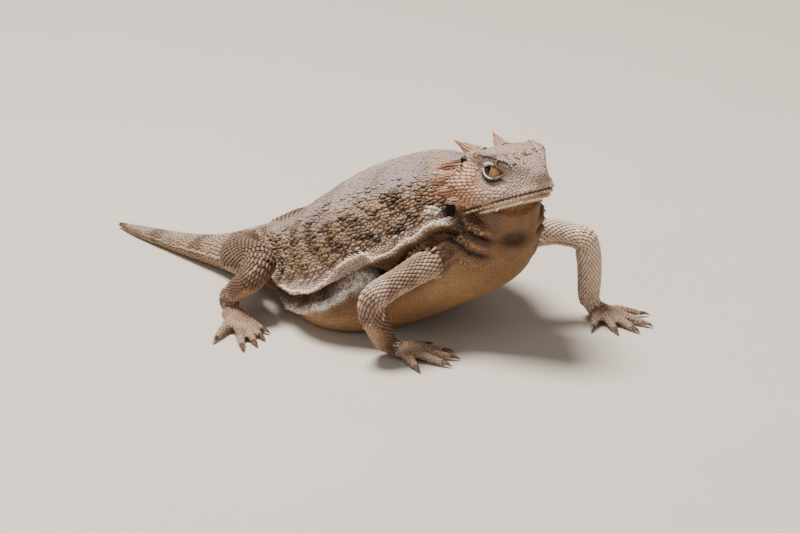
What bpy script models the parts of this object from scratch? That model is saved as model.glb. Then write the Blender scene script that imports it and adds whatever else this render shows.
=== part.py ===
"""Horned lizard, life size, at rest with the chest raised on the forelegs.

Everything is first laid out in millimetres with the right hand near the origin, then the whole animal is
turned about Z so that its length lies along +X, and moved so that the middle of its outline is over the origin.
Head to +X, right side to -Y, feet, belly and tail on Z = 0.
"""

import math

import bmesh
import bpy
import numpy as np

# ----------------------------------------------------------------------------- driving dimensions (mm, degrees)
MM = 0.001
TURN = 30.0  # turn of the layout about Z
SHIFT = (22.4, -25.4)  # moves the middle of the outline to the origin, after the turn
CUT = 0.3  # gap between neighbouring pieces
VOXEL = 0.55  # grain of the flesh before it is thinned out
FLESH_FACES = 2900  # triangles of the flesh after thinning

HEAD_CENTRE = (23.3, -1.0, 36.6)
HEAD_YAW, HEAD_PITCH = 56.0, 10.0
HEAD_SIZE = 1.045
EYE_CENTRE = (0.6, 3.95, 0.3)  # forward, right, up in the head
EYE_RADIUS = 2.2
LID_RADIUS = 3.0
SOCKET_RADIUS = EYE_RADIUS + 0.28
OPENING = (1.75, 1.05)  # half length and half height of the slit between the lids
OPENING_TILT = -20.0

# name: base, tip (forward, right, up in the head), base radius
HORNS = {
    "occipital": ((-6.0, 2.6, 2.7), (-11.7, 4.3, 5.0), 1.2),
    "temporal_1": ((-6.6, 6.8, 1.5), (-10.1, 9.6, 0.7), 0.95),
    "temporal_2": ((-6.4, 8.4, -0.6), (-9.7, 11.7, -1.3), 1.1),
    "temporal_3": ((-5.3, 9.0, -2.6), (-8.1, 12.0, -3.2), 0.95),
    "temporal_4": ((-4.0, 8.9, -4.3), (-6.0, 11.3, -4.8), 0.72),
}

# trunk and tail along the spine: x, y, z of the level of the side fringe, half width, height above, depth below,
# roll to the right, height of the fringe ridge, squareness of the belly side (1 is round)
SPINE = (
    (-56.0, 70.0, 1.0, 0.5, 0.55, 0.9, 0.0, 0.0, 0.90),
    (-51.5, 64.5, 1.5, 1.3, 1.1, 1.6, 0.0, 0.1, 0.90),
    (-44.5, 57.3, 2.1, 2.2, 1.7, 2.2, 0.0, 0.3, 0.90),
    (-37.5, 50.6, 2.9, 3.4, 2.4, 3.1, 0.0, 0.4, 0.90),
    (-31.2, 45.2, 4.1, 5.2, 3.5, 4.2, 1.0, 0.4, 0.86),
    (-25.0, 40.8, 5.6, 8.6, 5.0, 5.6, 2.0, 0.5, 0.80),
    (-18.0, 36.0, 6.8, 10.3, 7.6, 8.2, 3.0, 0.9, 0.72),
    (-10.0, 30.6, 8.8, 18.0, 12.0, 12.0, 4.0, 1.2, 0.58),
    (-2.0, 24.8, 11.6, 23.0, 15.4, 13.6, 4.5, 1.3, 0.61),
    (5.0, 19.2, 15.6, 22.8, 16.0, 14.8, 4.0, 1.3, 0.74),
    (11.0, 14.0, 19.8, 18.8, 15.2, 14.8, 3.0, 1.2, 0.82),
    (15.6, 9.6, 23.6, 13.8, 12.8, 14.6, 1.5, 0.9, 0.88),
    (18.8, 5.8, 27.2, 10.0, 9.2, 13.2, 0.5, 0.5, 0.90),
    (20.8, 3.0, 30.4, 8.4, 6.8, 10.2, 0.0, 0.1, 0.92),
    (22.6, 0.6, 33.0, 7.0, 5.2, 6.6, 0.0, 0.0, 0.95),
)

# head sections from the nape to the snout: forward; crown height; brow half width and height; orbit half width;
# temple half width and height; lip half width and height; jaw half width and height; throat height
HEAD = (
    (-8.8, 2.0, 3.2, 1.9, 5.4, 7.4, -0.6, 5.8, -3.8, 4.6, -4.8, -5.4),
    (-7.6, 3.1, 4.2, 3.0, 6.8, 9.5, -0.6, 7.9, -4.2, 6.2, -5.4, -6.3),
    (-5.4, 3.5, 5.2, 3.4, 6.8, 10.0, -0.9, 9.3, -4.5, 7.4, -5.7, -6.9),
    (-2.8, 3.5, 6.1, 3.7, 6.2, 8.9, -1.4, 9.0, -4.5, 7.7, -5.8, -6.9),
    (-0.3, 3.55, 6.4, 3.8, 5.0, 7.4, -2.0, 8.0, -4.3, 7.0, -5.6, -6.6),
    (2.0, 3.4, 6.0, 3.5, 4.5, 6.5, -2.3, 6.9, -4.1, 6.1, -5.3, -6.2),
    (4.0, 3.0, 4.9, 2.8, 4.1, 5.4, -2.2, 5.8, -3.8, 5.1, -4.9, -5.7),
    (5.8, 2.3, 3.5, 2.0, 3.6, 4.2, -2.0, 4.6, -3.5, 4.0, -4.5, -5.2),
    (7.3, 1.5, 2.4, 1.3, 2.7, 3.1, -1.8, 3.5, -3.1, 3.0, -4.1, -4.7),
    (8.3, 0.7, 1.6, 0.4, 1.9, 2.3, -1.7, 2.6, -2.9, 2.2, -3.8, -4.3),
    (9.0, -0.5, 0.9, -0.7, 1.1, 1.4, -1.8, 1.7, -2.8, 1.4, -3.5, -3.9),
)

# legs: joints in the layout, x, y, z, radius
FORELEG = {
    "right": ((12.6, 5.4, 19.4, 3.9), (9.0, 0.4, 18.1, 3.2), (3.6, -4.6, 16.5, 2.7), (-2.2, -8.0, 13.7, 2.7),
              (-2.8, -7.8, 10.5, 2.7), (-1.8, -5.8, 6.8, 2.6), (-0.6, -4.0, 3.5, 2.3), (1.1, -3.6, 1.8, 1.8)),
    "left": ((23.6, 13.2, 19.6, 3.9), (27.2, 15.2, 18.2, 3.2), (32.4, 16.0, 18.0, 2.6), (37.4, 15.0, 17.0, 2.5),
             (38.6, 15.4, 13.6, 2.45), (38.9, 16.6, 8.2, 2.35), (39.0, 17.8, 4.0, 2.1), (40.2, 17.8, 1.9, 1.7)),
}
HINDLEG = {
    "right": ((-24.5, 38.6, 7.0, 4.0), (-28.4, 32.2, 7.9, 4.0), (-28.8, 24.2, 10.2, 3.8), (-25.2, 16.5, 11.8, 3.6),
              (-26.3, 13.9, 9.4, 2.9), (-28.9, 15.7, 6.5, 2.4), (-30.9, 18.6, 3.6, 2.1), (-30.6, 17.6, 1.8, 1.8)),
    "left": ((-24.0, 42.0, 6.4, 3.6), (-20.5, 48.4, 6.4, 3.7), (-15.6, 52.4, 7.2, 3.6), (-9.0, 54.6, 8.0, 3.4),
             (-8.0, 58.0, 7.0, 2.7), (-11.6, 60.0, 5.6, 2.4), (-15.4, 61.6, 3.3, 2.1), (-15.1, 62.8, 1.8, 1.8)),
}
# feet: centre of the palm, its half length and half width, directions of the five toes as yaw, and their lengths
PALM = {
    "fore_right": ((2.2, -3.6), 2.9, 2.5, (-42, -10, 10, 30, 66), (4.6, 6.8, 8.2, 8.0, 5.4)),
    "fore_left": ((41.2, 17.2), 2.9, 2.5, (104, 72, 52, 32, -4), (4.6, 6.8, 8.2, 8.0, 5.4)),
    "hind_right": ((-29.4, 13.6), 4.0, 2.6, (42, 58, 70, 82, 110), (5.0, 7.4, 9.8, 11.4, 7.4)),
    "hind_left": ((-13.0, 66.0), 4.0, 2.6, (-16, -36, -50, -62, -90), (5.0, 7.4, 9.8, 11.4, 7.4)),
}
TOE_RADII = (1.15, 1.0, 0.78)
CLAW_LENGTH, CLAW_RADIUS = 2.0, 0.45

COLOURS = {
    "skin": ((0.45, 0.36, 0.29), 0.8),
    "eye": ((0.03, 0.018, 0.01), 0.08),
    "horn": ((0.42, 0.17, 0.08), 0.5),
    "claw": ((0.12, 0.08, 0.055), 0.4),
}


# ----------------------------------------------------------------------------- shape
def spline(rows, count):
    """count rows on a smooth curve through rows, end to end."""
    rows = np.array(rows, float)
    ends = np.vstack([2 * rows[0] - rows[1], rows, 2 * rows[-1] - rows[-2]])
    t = np.linspace(0, len(rows) - 1, count)
    i = np.minimum(t.astype(int), len(rows) - 2)
    u = (t - i)[:, None]
    a, b, c, d = ends[i], ends[i + 1], ends[i + 2], ends[i + 3]
    return 0.5 * (2 * b + (c - a) * u + (2 * a - 5 * b + 4 * c - d) * u**2 + (3 * b - a - 3 * c + d) * u**3)


def unit(v):
    v = np.asarray(v, float)
    return v / np.maximum(np.linalg.norm(v, axis=-1, keepdims=True), 1e-9)


def power(v, p):
    return np.sign(v) * np.abs(v) ** p


def frames(points):
    """Tangent, side and up of a path; side is level."""
    tangent = unit(np.gradient(points, axis=0))
    side = unit(np.cross(tangent, (0.0, 0.0, 1.0)))
    return tangent, side, np.cross(side, tangent)


def trunk_rings(stations, around):
    """Rings of the trunk, neck and tail: a domed back, a fuller belly, a fringe ridge on each side with a fold below."""
    rows = spline(SPINE, stations)
    tangent, side, up = frames(rows[:, :3])
    a = np.linspace(0, 2 * math.pi, around, endpoint=False)
    a = a - 0.16 * np.sin(2 * a)  # closer together at the sides
    ca, sa = np.cos(a), np.sin(a)
    rings = []
    for row, s, u in zip(rows, side, up):
        half, above, below, roll, ridge, square = row[3:9]
        x = half * np.where(sa > 0, power(ca, 0.96), power(ca, square))
        y = np.where(sa > 0, above * power(sa, 1.0), below * power(sa, 0.86))
        out = np.sign(ca) * np.clip(np.abs(ca) * 3, 0, 1)
        fold = ridge * (
            np.exp(-(((y + 0.1) / 1.0) ** 2)) - 0.9 * np.exp(-(((y + 2.5) / 1.1) ** 2)) + 0.5 * np.exp(-(((y + 4.9) / 1.2) ** 2))
        )
        x = x + out * fold
        r = math.radians(roll)
        x, y = x * math.cos(r) + y * math.sin(r), -x * math.sin(r) + y * math.cos(r)
        rings.append(row[:3] + x[:, None] * s + y[:, None] * u)
    return np.array(rings)


def head_frame():
    """Origin, forward, right and up of the head in the layout."""
    y, p = math.radians(HEAD_YAW), math.radians(HEAD_PITCH)
    f = np.array((math.cos(p) * math.cos(y), -math.cos(p) * math.sin(y), math.sin(p)))
    r = np.array((-math.sin(y), -math.cos(y), 0.0))
    return np.array(HEAD_CENTRE), f, r, np.cross(r, f)


def in_head(points, side=1):
    """Points given as forward, right and up in the head, on its right (1) or left (-1) side, in the layout."""
    p = np.atleast_2d(np.asarray(points, float)) * HEAD_SIZE
    o, f, r, u = head_frame()
    return o + p[:, :1] * f + side * p[:, 1:2] * r + p[:, 2:3] * u


def head_rings(stations, around):
    """Rings of the head, each through its crown, brow, orbit, temple, lip, jaw and throat."""
    rings = []
    half = around // 2
    for f, crown, by, bz, oy, ty, tz, ly, lz, jy, jz, throat in spline(HEAD, stations):
        corners = (
            (0.0, crown), (by * 0.55, crown + 0.05), (by, bz), (oy * 0.6 + by * 0.4, bz * 0.55 + tz * 0.45),
            (ty, tz), (ty * 0.5 + ly * 0.5 + 0.15, tz * 0.45 + lz * 0.55), (ly, lz), (jy, jz), (jy * 0.55, throat + 0.25), (0.0, throat),
        )
        line = spline(corners, half + 1)
        right = [(f, y, z) for y, z in line]
        left = [(f, -y, z) for y, z in line[1:-1][::-1]]
        rings.append(in_head(right + left))
    return np.array(rings)


def tube_rings(rows, stations, around, flat=1.0):
    """Rings of a round tube along rows of x, y, z, radius; flat squashes it in height."""
    rows = spline(rows, stations)
    points = rows[:, :3]
    tangent = unit(np.gradient(points, axis=0))
    side = unit(np.cross(tangent[0], (0.0, 0.0, 1.0)))
    a = np.linspace(0, 2 * math.pi, around, endpoint=False)
    rings = []
    for row, t in zip(rows, tangent):
        side = unit(side - t * float(side @ t))
        up = np.cross(side, t)
        rings.append(row[:3] + row[3] * (np.cos(a)[:, None] * side + flat * np.sin(a)[:, None] * up))
    return np.array(rings)


def round_ends(rings, steps=3):
    """The rings with each end drawn in to a dome."""
    out = list(rings)
    for end, inner in ((0, 1), (-1, -2)):
        centre = rings[end].mean(0)
        radius = np.linalg.norm(rings[end] - centre, axis=1).mean()
        away = unit(centre - rings[inner].mean(0))
        for k in range(1, steps + 1):
            a = 0.5 * math.pi * k / (steps + 0.6)
            ring = centre + (rings[end] - centre) * math.cos(a) + away * radius * 0.8 * math.sin(a)
            out = [ring, *out] if end == 0 else [*out, ring]
    return np.array(out)


def yaw(deg):
    """Level direction at this yaw; 0 is +X of the layout and 90 is -Y."""
    return np.array((math.cos(math.radians(deg)), -math.sin(math.radians(deg)), 0.0))


def toes(foot):
    """Start, direction and length of each toe of a foot."""
    (px, py), long, wide, yaws, lengths = PALM[foot]
    middle = yaw(yaws[2])
    across = np.array((-middle[1], middle[0], 0.0))
    centre = np.array((px, py, 0.0))
    found = []
    for deg, length in zip(yaws, lengths):
        d = yaw(deg)
        start = centre + middle * long * 0.35 + across * float(d @ across) * wide * 0.75
        found.append((start, d, length))
    return found


def toe_rows(start, d, length):
    """A toe as a low arch from the palm to its tip."""
    r0, r1, r2 = TOE_RADII
    lift = (1.5, 1.55, 1.2, 0.86)
    along = (0.0, 0.35, 0.7, 1.0)
    radii = (r0, (r0 + r1) / 2, r1 * 0.92, r2)
    return [tuple(start + d * length * s) [:2] + (z, r) for s, z, r in zip(along, lift, radii)]


def palm_rings(foot, around):
    (px, py), long, wide, yaws, _ = PALM[foot]
    middle = yaw(yaws[2])
    c = np.array((px, py, 0.0))
    rows = []
    for s, r in ((-1.0, 0.55), (-0.6, 0.9), (0.0, 1.0), (0.5, 0.98), (0.9, 0.7)):
        p = c + middle * long * s
        rows.append((p[0], p[1], 1.55 - 0.15 * s, wide * r))
    return tube_rings(rows, 9, around, flat=0.62)


def mesh_of(rings):
    """Vertices and faces of the closed skin over a stack of rings."""
    m, k, _ = rings.shape
    verts = np.vstack([rings.reshape(-1, 3), rings[0].mean(0), rings[-1].mean(0)])
    i, j = np.meshgrid(np.arange(m - 1), np.arange(k), indexing="ij")
    a, b = i * k + j, i * k + (j + 1) % k
    quads = np.stack([a, b, b + k, a + k], -1).reshape(-1, 4).tolist()
    first, last = m * k, m * k + 1
    caps = [(first, (j + 1) % k, j) for j in range(k)] + [(last, (m - 1) * k + j, (m - 1) * k + (j + 1) % k) for j in range(k)]
    return verts, quads + caps


def ball(centre, radii, axes=None, steps=10, around=20):
    """Rings of an ellipsoid."""
    axes = np.eye(3) if axes is None else np.asarray(axes, float)
    rings = []
    for t in np.linspace(-0.49 * math.pi, 0.49 * math.pi, steps):
        a = np.linspace(0, 2 * math.pi, around, endpoint=False)
        p = np.stack([np.cos(a) * math.cos(t) * radii[0], np.sin(a) * math.cos(t) * radii[1], np.full_like(a, math.sin(t) * radii[2])], -1)
        rings.append(np.asarray(centre) + p @ axes)
    return np.array(rings)


def flesh_rings(fine=1):
    """The overlapping forms that make up the flesh."""
    forms = [trunk_rings(70 * fine, 72 * fine), head_rings(26 * fine, 56 * fine)]
    for side in FORELEG:
        forms.append(round_ends(tube_rings(FORELEG[side], 30 * fine, 20 * fine)))
        forms.append(round_ends(tube_rings(HINDLEG[side], 30 * fine, 20 * fine)))
    for foot in PALM:
        forms.append(round_ends(palm_rings(foot, 20 * fine)))
        for start, d, length in toes(foot):
            forms.append(round_ends(tube_rings(toe_rows(start, d, length), 10 * fine, 12 * fine)))
    for side in (1, -1):
        c = in_head(EYE_CENTRE, side)[0]
        forms.append(ball(c, (LID_RADIUS,) * 3, steps=14 * fine, around=24 * fine))
    # breast and shoulders, and the fat of the neck under the jaw
    forms.append(ball((17.8, 8.6, 19.6), (9.6, 9.6, 9.0), steps=14 * fine, around=24 * fine))
    return forms


def to_model(points):
    """Layout in millimetres to the model in metres."""
    p = np.asarray(points, float)
    a = math.radians(TURN)
    x = p[..., 0] * math.cos(a) - p[..., 1] * math.sin(a) + SHIFT[0]
    y = p[..., 0] * math.sin(a) + p[..., 1] * math.cos(a) + SHIFT[1]
    return np.stack([x, y, p[..., 2]], -1) * MM


# ----------------------------------------------------------------------------- objects
def material(name):
    found = bpy.data.materials.get(name)
    if found:
        return found
    colour, rough = COLOURS[name.split("-")[-1]]
    m = bpy.data.materials.new(name)
    m.use_nodes = True
    shader = m.node_tree.nodes["Principled BSDF"]
    shader.inputs["Base Color"].default_value = (*colour, 1)
    shader.inputs["Roughness"].default_value = rough
    shader.inputs["Metallic"].default_value = 0.0
    return m


def new_object(name, verts, faces, kind="skin"):
    mesh = bpy.data.meshes.new(name)
    mesh.from_pydata([tuple(v) for v in to_model(verts)], [], [tuple(f) for f in faces])
    mesh.update()
    bm = bmesh.new()
    bm.from_mesh(mesh)
    bmesh.ops.recalc_face_normals(bm, faces=bm.faces)
    bm.to_mesh(mesh)
    bm.free()
    mesh.shade_smooth()
    obj = bpy.data.objects.new(name, mesh)
    bpy.context.scene.collection.objects.link(obj)
    mesh.materials.append(material(f"{name}-{kind}"))
    return obj


def joined(name, forms):
    """One mesh of several closed forms."""
    verts, faces, base = [], [], 0
    for rings in forms:
        v, f = mesh_of(rings)
        verts.append(v)
        faces += [tuple(i + base for i in face) for face in f]
        base += len(v)
    return new_object(name, np.vstack(verts), faces)


def hide(obj):
    obj.hide_render = True
    obj.display_type = "WIRE"
    return obj


def applied(obj):
    """obj with its modifiers made part of its mesh."""
    graph = bpy.context.evaluated_depsgraph_get()
    mesh = bpy.data.meshes.new_from_object(obj.evaluated_get(graph))
    obj.modifiers.clear()
    old = obj.data
    obj.data = mesh
    bpy.data.meshes.remove(old)
    return obj


def take(obj, cutter, operation="DIFFERENCE"):
    boolean = obj.modifiers.new("cut", "BOOLEAN")
    boolean.operation = operation
    boolean.object = cutter
    boolean.solver = "EXACT"
    applied(obj)
    bpy.data.objects.remove(cutter, do_unlink=True)
    return obj


def disc(centre, axis, radius, thick=CUT, around=10):
    """Rings of a thin round plate across a limb."""
    axis = unit(axis)
    side = unit(np.cross(axis, (0.31, 0.2, 0.93)))
    up = np.cross(side, axis)
    a = np.linspace(0, 2 * math.pi, around, endpoint=False)
    ring = radius * (np.cos(a)[:, None] * side + np.sin(a)[:, None] * up)
    return np.array([np.asarray(centre) + ring - axis * thick / 2, np.asarray(centre) + ring + axis * thick / 2])


def cone_rings(base, tip, radius, grow=0.0, steps=5, around=8, bend=(0, 0, 0), start=0.0):
    """Rings of a slightly bent horn or claw from base to tip; grow makes it fatter all round."""
    base, tip, bend = (np.asarray(v, float) for v in (base, tip, bend))
    axis = unit(tip - base)
    side = unit(np.cross(axis, (0.13, 0.21, 0.97)))
    up = np.cross(side, axis)
    a = np.linspace(0, 2 * math.pi, around, endpoint=False)
    rings = []
    for t in np.linspace(start, 1.0, steps):
        r = radius * (1 - t) ** 0.8 + 0.06 + grow
        c = base + (tip - base) * t + bend * 4 * t * (1 - t) + axis * grow * (1.6 if t == 1.0 else -1 if t == start else 0)
        rings.append(c + r * (np.cos(a)[:, None] * side + np.sin(a)[:, None] * up))
    return np.array(rings)


def along(rows, where):
    """Point and direction on a leg's line, where counts its joints from 0."""
    rows = np.array(rows, float)
    line = spline(rows, (len(rows) - 1) * 20 + 1)
    i = int(round(where * 20))
    return line[i, :3], line[min(i + 1, len(line) - 1), :3] - line[max(i - 1, 0), :3], line[i, 3]


def islands(obj):
    """The separate closed bodies of a mesh, each as vertices and faces in metres."""
    bm = bmesh.new()
    bm.from_mesh(obj.data)
    bmesh.ops.remove_doubles(bm, verts=bm.verts, dist=1e-6)
    bm.verts.ensure_lookup_table()
    seen, found = set(), []
    for v in bm.verts:
        if v.index in seen:
            continue
        stack, group = [v], []
        seen.add(v.index)
        while stack:
            w = stack.pop()
            group.append(w)
            for e in w.link_edges:
                o = e.other_vert(w)
                if o.index not in seen:
                    seen.add(o.index)
                    stack.append(o)
        index = {w.index: i for i, w in enumerate(group)}
        faces = {f for w in group for f in w.link_faces}
        faces = [[index[w.index] for w in f.verts] for f in sorted(faces, key=lambda f: f.index)]
        found.append((np.array([w.co[:] for w in group]), faces))
    bm.free()
    return found


def horn_bend(name):
    return (0.0, 0.0, -0.25) if name == "occipital" else (0.0, 0.25, 0.15)


def main():
    for obj in list(bpy.data.objects):
        bpy.data.objects.remove(obj, do_unlink=True)

    # the flesh as one smooth body
    flesh = joined("flesh", flesh_rings(2))
    remesh = flesh.modifiers.new("fuse", "REMESH")
    remesh.mode = "VOXEL"
    remesh.voxel_size = VOXEL * MM
    remesh.use_smooth_shade = True
    smooth = flesh.modifiers.new("soften", "SMOOTH")
    smooth.factor, smooth.iterations = 0.5, 3
    applied(flesh)
    count = sum(len(p.vertices) - 2 for p in flesh.data.polygons)
    thin = flesh.modifiers.new("thin", "DECIMATE")
    thin.ratio = FLESH_FACES / count
    applied(flesh)

    # flats on the floor
    lo, hi = np.array((-90.0, -60.0, -8.0)), np.array((90.0, 110.0, 0.0))
    corner = [np.array((x, y, z)) for z in (lo[2], hi[2]) for x, y in ((lo[0], lo[1]), (hi[0], lo[1]), (hi[0], hi[1]), (lo[0], hi[1]))]
    floor = new_object("floor", corner, [(0, 3, 2, 1), (4, 5, 6, 7), (0, 1, 5, 4), (1, 2, 6, 5), (2, 3, 7, 6), (3, 0, 4, 7)])
    take(flesh, floor)

    # sockets of eyes and horns, and the slit between the lids
    o, f, r, u = head_frame()
    cutters, hard = [], []
    for side, word in ((1, "right"), (-1, "left")):
        c = in_head(EYE_CENTRE, side)[0]
        axes = (f, side * r, u)
        cutters.append(ball(c, (SOCKET_RADIUS,) * 3, steps=8, around=14))
        hard.append((f"eye_{word}", ball(c, (EYE_RADIUS,) * 3, axes=(f, u, side * r), steps=9, around=16), "eye", c))
        for name, (base, tip, radius) in HORNS.items():
            b, t = in_head(base, side)[0], in_head(tip, side)[0]
            bend = in_head(np.array(horn_bend(name)), side)[0] - o
            cutters.append(cone_rings(b, t, radius, grow=CUT * 0.95, bend=bend))
            hard.append((f"horn_{name}_{word}", cone_rings(b, t, radius, bend=bend), "horn", (b + t) / 2))
    for rings in cutters:
        take(flesh, joined("socket", [rings]))
    slits = []
    for side in (1, -1):
        c = in_head(EYE_CENTRE, side)[0]
        tilt = math.radians(OPENING_TILT)
        a = np.linspace(0, 2 * math.pi, 14, endpoint=False)
        x, y = OPENING[0] * np.cos(a), OPENING[1] * np.sin(a) * (1 - 0.35 * np.cos(a) ** 2)
        x, y = x * math.cos(tilt) - y * math.sin(tilt), x * math.sin(tilt) + y * math.cos(tilt)
        ring = c + x[:, None] * f + y[:, None] * u
        slits.append(np.array([ring + side * r * 1.2, ring + side * r * 6.0]))
    for rings in slits:
        take(flesh, joined("slit", [rings]))

    # thin cuts between the parts
    spine = np.array(SPINE)
    cuts, seeds = [], {}

    def cut(rows, where, radius, tilt=None):
        c, d, _ = along(rows, where)
        cuts.append(disc(c, d if tilt is None else tilt, radius))

    line = [tuple(row[:3]) + (row[3],) for row in SPINE]
    for side in ("right", "left"):
        cut(FORELEG[side], 6.0, 3.4)
        cut(HINDLEG[side], 6.0, 5.4, tilt=(0.0, 0.0, 1.0))
        cut(FORELEG[side], 3.35, 4.6)
        # the folded knee is split along the plane between thigh and shank
        p = np.array(HINDLEG[side])[:, :3]
        back, down = unit(p[2] - p[3]), unit(p[6] - p[4])
        cuts.append(disc((p[3] + p[4]) / 2 + unit(back + down) * 3.6, back - down, 8.8))
    cut(line, 2.6, 8.0)  # tail tip and base
    cut(line, 4.0, 8.5)  # tail base and trunk
    cuts.append(disc((6.0, -2.35, 17.0), (0.0, 1.0, 0.0), 7.6))  # right shoulder, along the flank
    cut(FORELEG["left"], 1.25, 6.0)
    cut(HINDLEG["left"], 1.75, 5.6)
    cut(HINDLEG["right"], 1.8, 5.4)
    cuts.append(disc((-23.3, 22.4, 10.0), (0.94, 0.35, 0.0), 6.8))  # right thigh and knee beside the flank
    cuts.append(disc((17.0, 8.0, 25.2), (0.52, -0.61, 0.60), 17.0))  # breast and neck
    for rings in cuts:
        take(flesh, joined("cut", [rings]))

    # the head from the neck, and the lower jaw from the head along the lips
    def slab(start, end, wide):
        """A thin plate across the head between two points given as forward and up."""
        (a, b), (c, d) = start, end
        n = unit((d - b, a - c)) * CUT / HEAD_SIZE / 2
        corners = ((a + n[0], b + n[1]), (c + n[0], d + n[1]), (c - n[0], d - n[1]), (a - n[0], b - n[1]))
        return np.array([in_head([(p, w, q) for p, q in corners]) for w in (-wide, wide)])

    corner = (-3.2, -4.75)
    take(flesh, joined("nape", [slab((-9.1, 6.0), (-9.1, -7.3), 11.0)]))
    take(flesh, joined("throat", [slab((-9.3, -7.1), (11.0, -9.6), 13.0)]))
    take(flesh, joined("lips", [slab(corner, (13.0, -2.05), 13.0)]))
    take(flesh, joined("cheek", [slab((corner[0], corner[1] + 0.1), (corner[0], -8.3), 13.0)]))

    # toes end flat where the claws begin
    trims, claws = [], []
    for foot in PALM:
        for n, (start, d, length) in enumerate(toes(foot), 1):
            tip = start + d * (length + 0.15)
            tip[2] = 0.86
            trims.append(disc(tip + d * 1.0, d, 1.3, thick=2.0, around=8))
            b = tip + d * CUT
            b[2] = 0.8
            claws.append((f"claw_{foot}_{n}", cone_rings(b, b + d * CLAW_LENGTH - (0, 0, 0.42), CLAW_RADIUS, steps=3, around=6, bend=(0, 0, 0.22)), "claw", b))
    take(flesh, joined("trims", trims))

    # name each piece by the landmark nearest to it
    marks = {
        "head": in_head((0.0, 0.0, 1.0))[0],
        "lower_jaw": in_head((3.0, 0.0, -5.4))[0],
        "neck": np.array((19.6, 5.0, 27.0)),
        "trunk": np.array((0.0, 23.0, 14.0)),
        "tail_base": spine[3, :3],
        "tail_tip": spine[1, :3],
    }
    for side in ("right", "left"):
        for word, rows, places in (("fore", FORELEG, (2.3, 4.9)), ("hind", HINDLEG, (2.4, 4.9))):
            upper, lower = along(rows[side], places[0])[0], along(rows[side], places[1])[0]
            names = ("upper_arm", "forearm", "hand") if word == "fore" else ("thigh", "shank", "foot")
            marks[f"{names[0]}_{side}"], marks[f"{names[1]}_{side}"] = upper, lower
            (px, py), long, *_rest, yaws, _ = PALM[f"{word}_{side}"]
            marks[f"{names[2]}_{side}"] = np.array((px, py, 1.4)) + yaw(yaws[2]) * long * 0.6
    pieces = sorted(islands(flesh), key=lambda p: -len(p[0]))
    names, places = list(marks), to_model(np.array(list(marks.values())))
    score = np.array([
        [np.linalg.norm(verts - p, axis=1).min() + 0.5 * np.linalg.norm((verts.min(0) + verts.max(0)) / 2 - p) for p in places]
        for verts, _ in pieces
    ])
    used = {}
    while len(used) < min(len(names), len(pieces)):
        i, j = np.unravel_index(int(score.argmin()), score.shape)
        used[names[j]] = pieces[i]
        score[i, :], score[:, j] = np.inf, np.inf
    for name in names:
        if name not in used:
            continue
        verts, faces = used[name]
        mesh = bpy.data.meshes.new(name)
        mesh.from_pydata([tuple(v) for v in verts], [], faces)
        mesh.update()
        mesh.shade_smooth()
        mesh.set_sharp_from_angle(angle=math.radians(50))
        obj = bpy.data.objects.new(name, mesh)
        bpy.context.scene.collection.objects.link(obj)
        mesh.materials.append(material(f"{name}-skin"))
    bpy.data.objects.remove(flesh, do_unlink=True)
    print("pieces", len(pieces), "missing", [name for name in names if name not in used])

    for name, rings, kind, _ in hard + claws:
        verts, faces = mesh_of(rings)
        new_object(name, verts, faces, kind)
    for mesh in [m for m in bpy.data.meshes if not m.users]:
        bpy.data.meshes.remove(mesh)

    low = np.array([1e9] * 3)
    high = -low
    total = 0
    for obj in bpy.context.scene.objects:
        co = np.array([v.co[:] for v in obj.data.vertices]) * 1000
        low, high = np.minimum(low, co.min(0)), np.maximum(high, co.max(0))
        total += sum(len(p.vertices) - 2 for p in obj.data.polygons)
    print("outline", low.round(2), high.round(2), "middle", ((low + high) / 2).round(2), "triangles", total, "objects", len(bpy.context.scene.objects))


main()
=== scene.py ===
"""Looks of the horned lizard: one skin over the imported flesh, with lids, scales, spines and fringe grown on it.

Shapes are laid out in millimetres in the same layout as the solids and turned into the model frame at the end.
"""

import math

import bmesh
import bpy
import numpy as np
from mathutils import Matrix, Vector
from mathutils.bvhtree import BVHTree
from mathutils.kdtree import KDTree


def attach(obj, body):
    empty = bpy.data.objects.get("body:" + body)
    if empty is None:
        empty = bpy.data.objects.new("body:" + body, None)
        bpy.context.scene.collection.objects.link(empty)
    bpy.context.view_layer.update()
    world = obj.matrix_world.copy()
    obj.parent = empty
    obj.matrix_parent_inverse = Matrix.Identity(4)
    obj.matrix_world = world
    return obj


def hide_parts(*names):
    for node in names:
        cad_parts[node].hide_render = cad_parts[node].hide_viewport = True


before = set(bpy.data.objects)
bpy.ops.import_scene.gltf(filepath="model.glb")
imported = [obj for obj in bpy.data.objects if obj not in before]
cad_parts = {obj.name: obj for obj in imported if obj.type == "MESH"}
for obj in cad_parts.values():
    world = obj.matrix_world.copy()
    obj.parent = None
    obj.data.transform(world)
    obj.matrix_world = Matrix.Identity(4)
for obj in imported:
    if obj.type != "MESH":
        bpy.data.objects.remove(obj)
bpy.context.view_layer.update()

# ----------------------------------------------------------------------------- driving dimensions (mm, degrees)
MM = 0.001
TURN = 30.0  # turn of the layout about Z
SHIFT = (22.4, -25.4)  # moves the middle of the outline to the origin, after the turn

HEAD_CENTRE = (23.3, -1.0, 36.6)
HEAD_YAW, HEAD_PITCH = 56.0, 10.0
HEAD_SIZE = 1.045
EYE_CENTRE = (0.6, 3.95, 0.3)  # forward, right, up in the head
EYE_RADIUS = 2.2
LID_RADIUS = 3.0
SOCKET_RADIUS = EYE_RADIUS + 0.28

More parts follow.
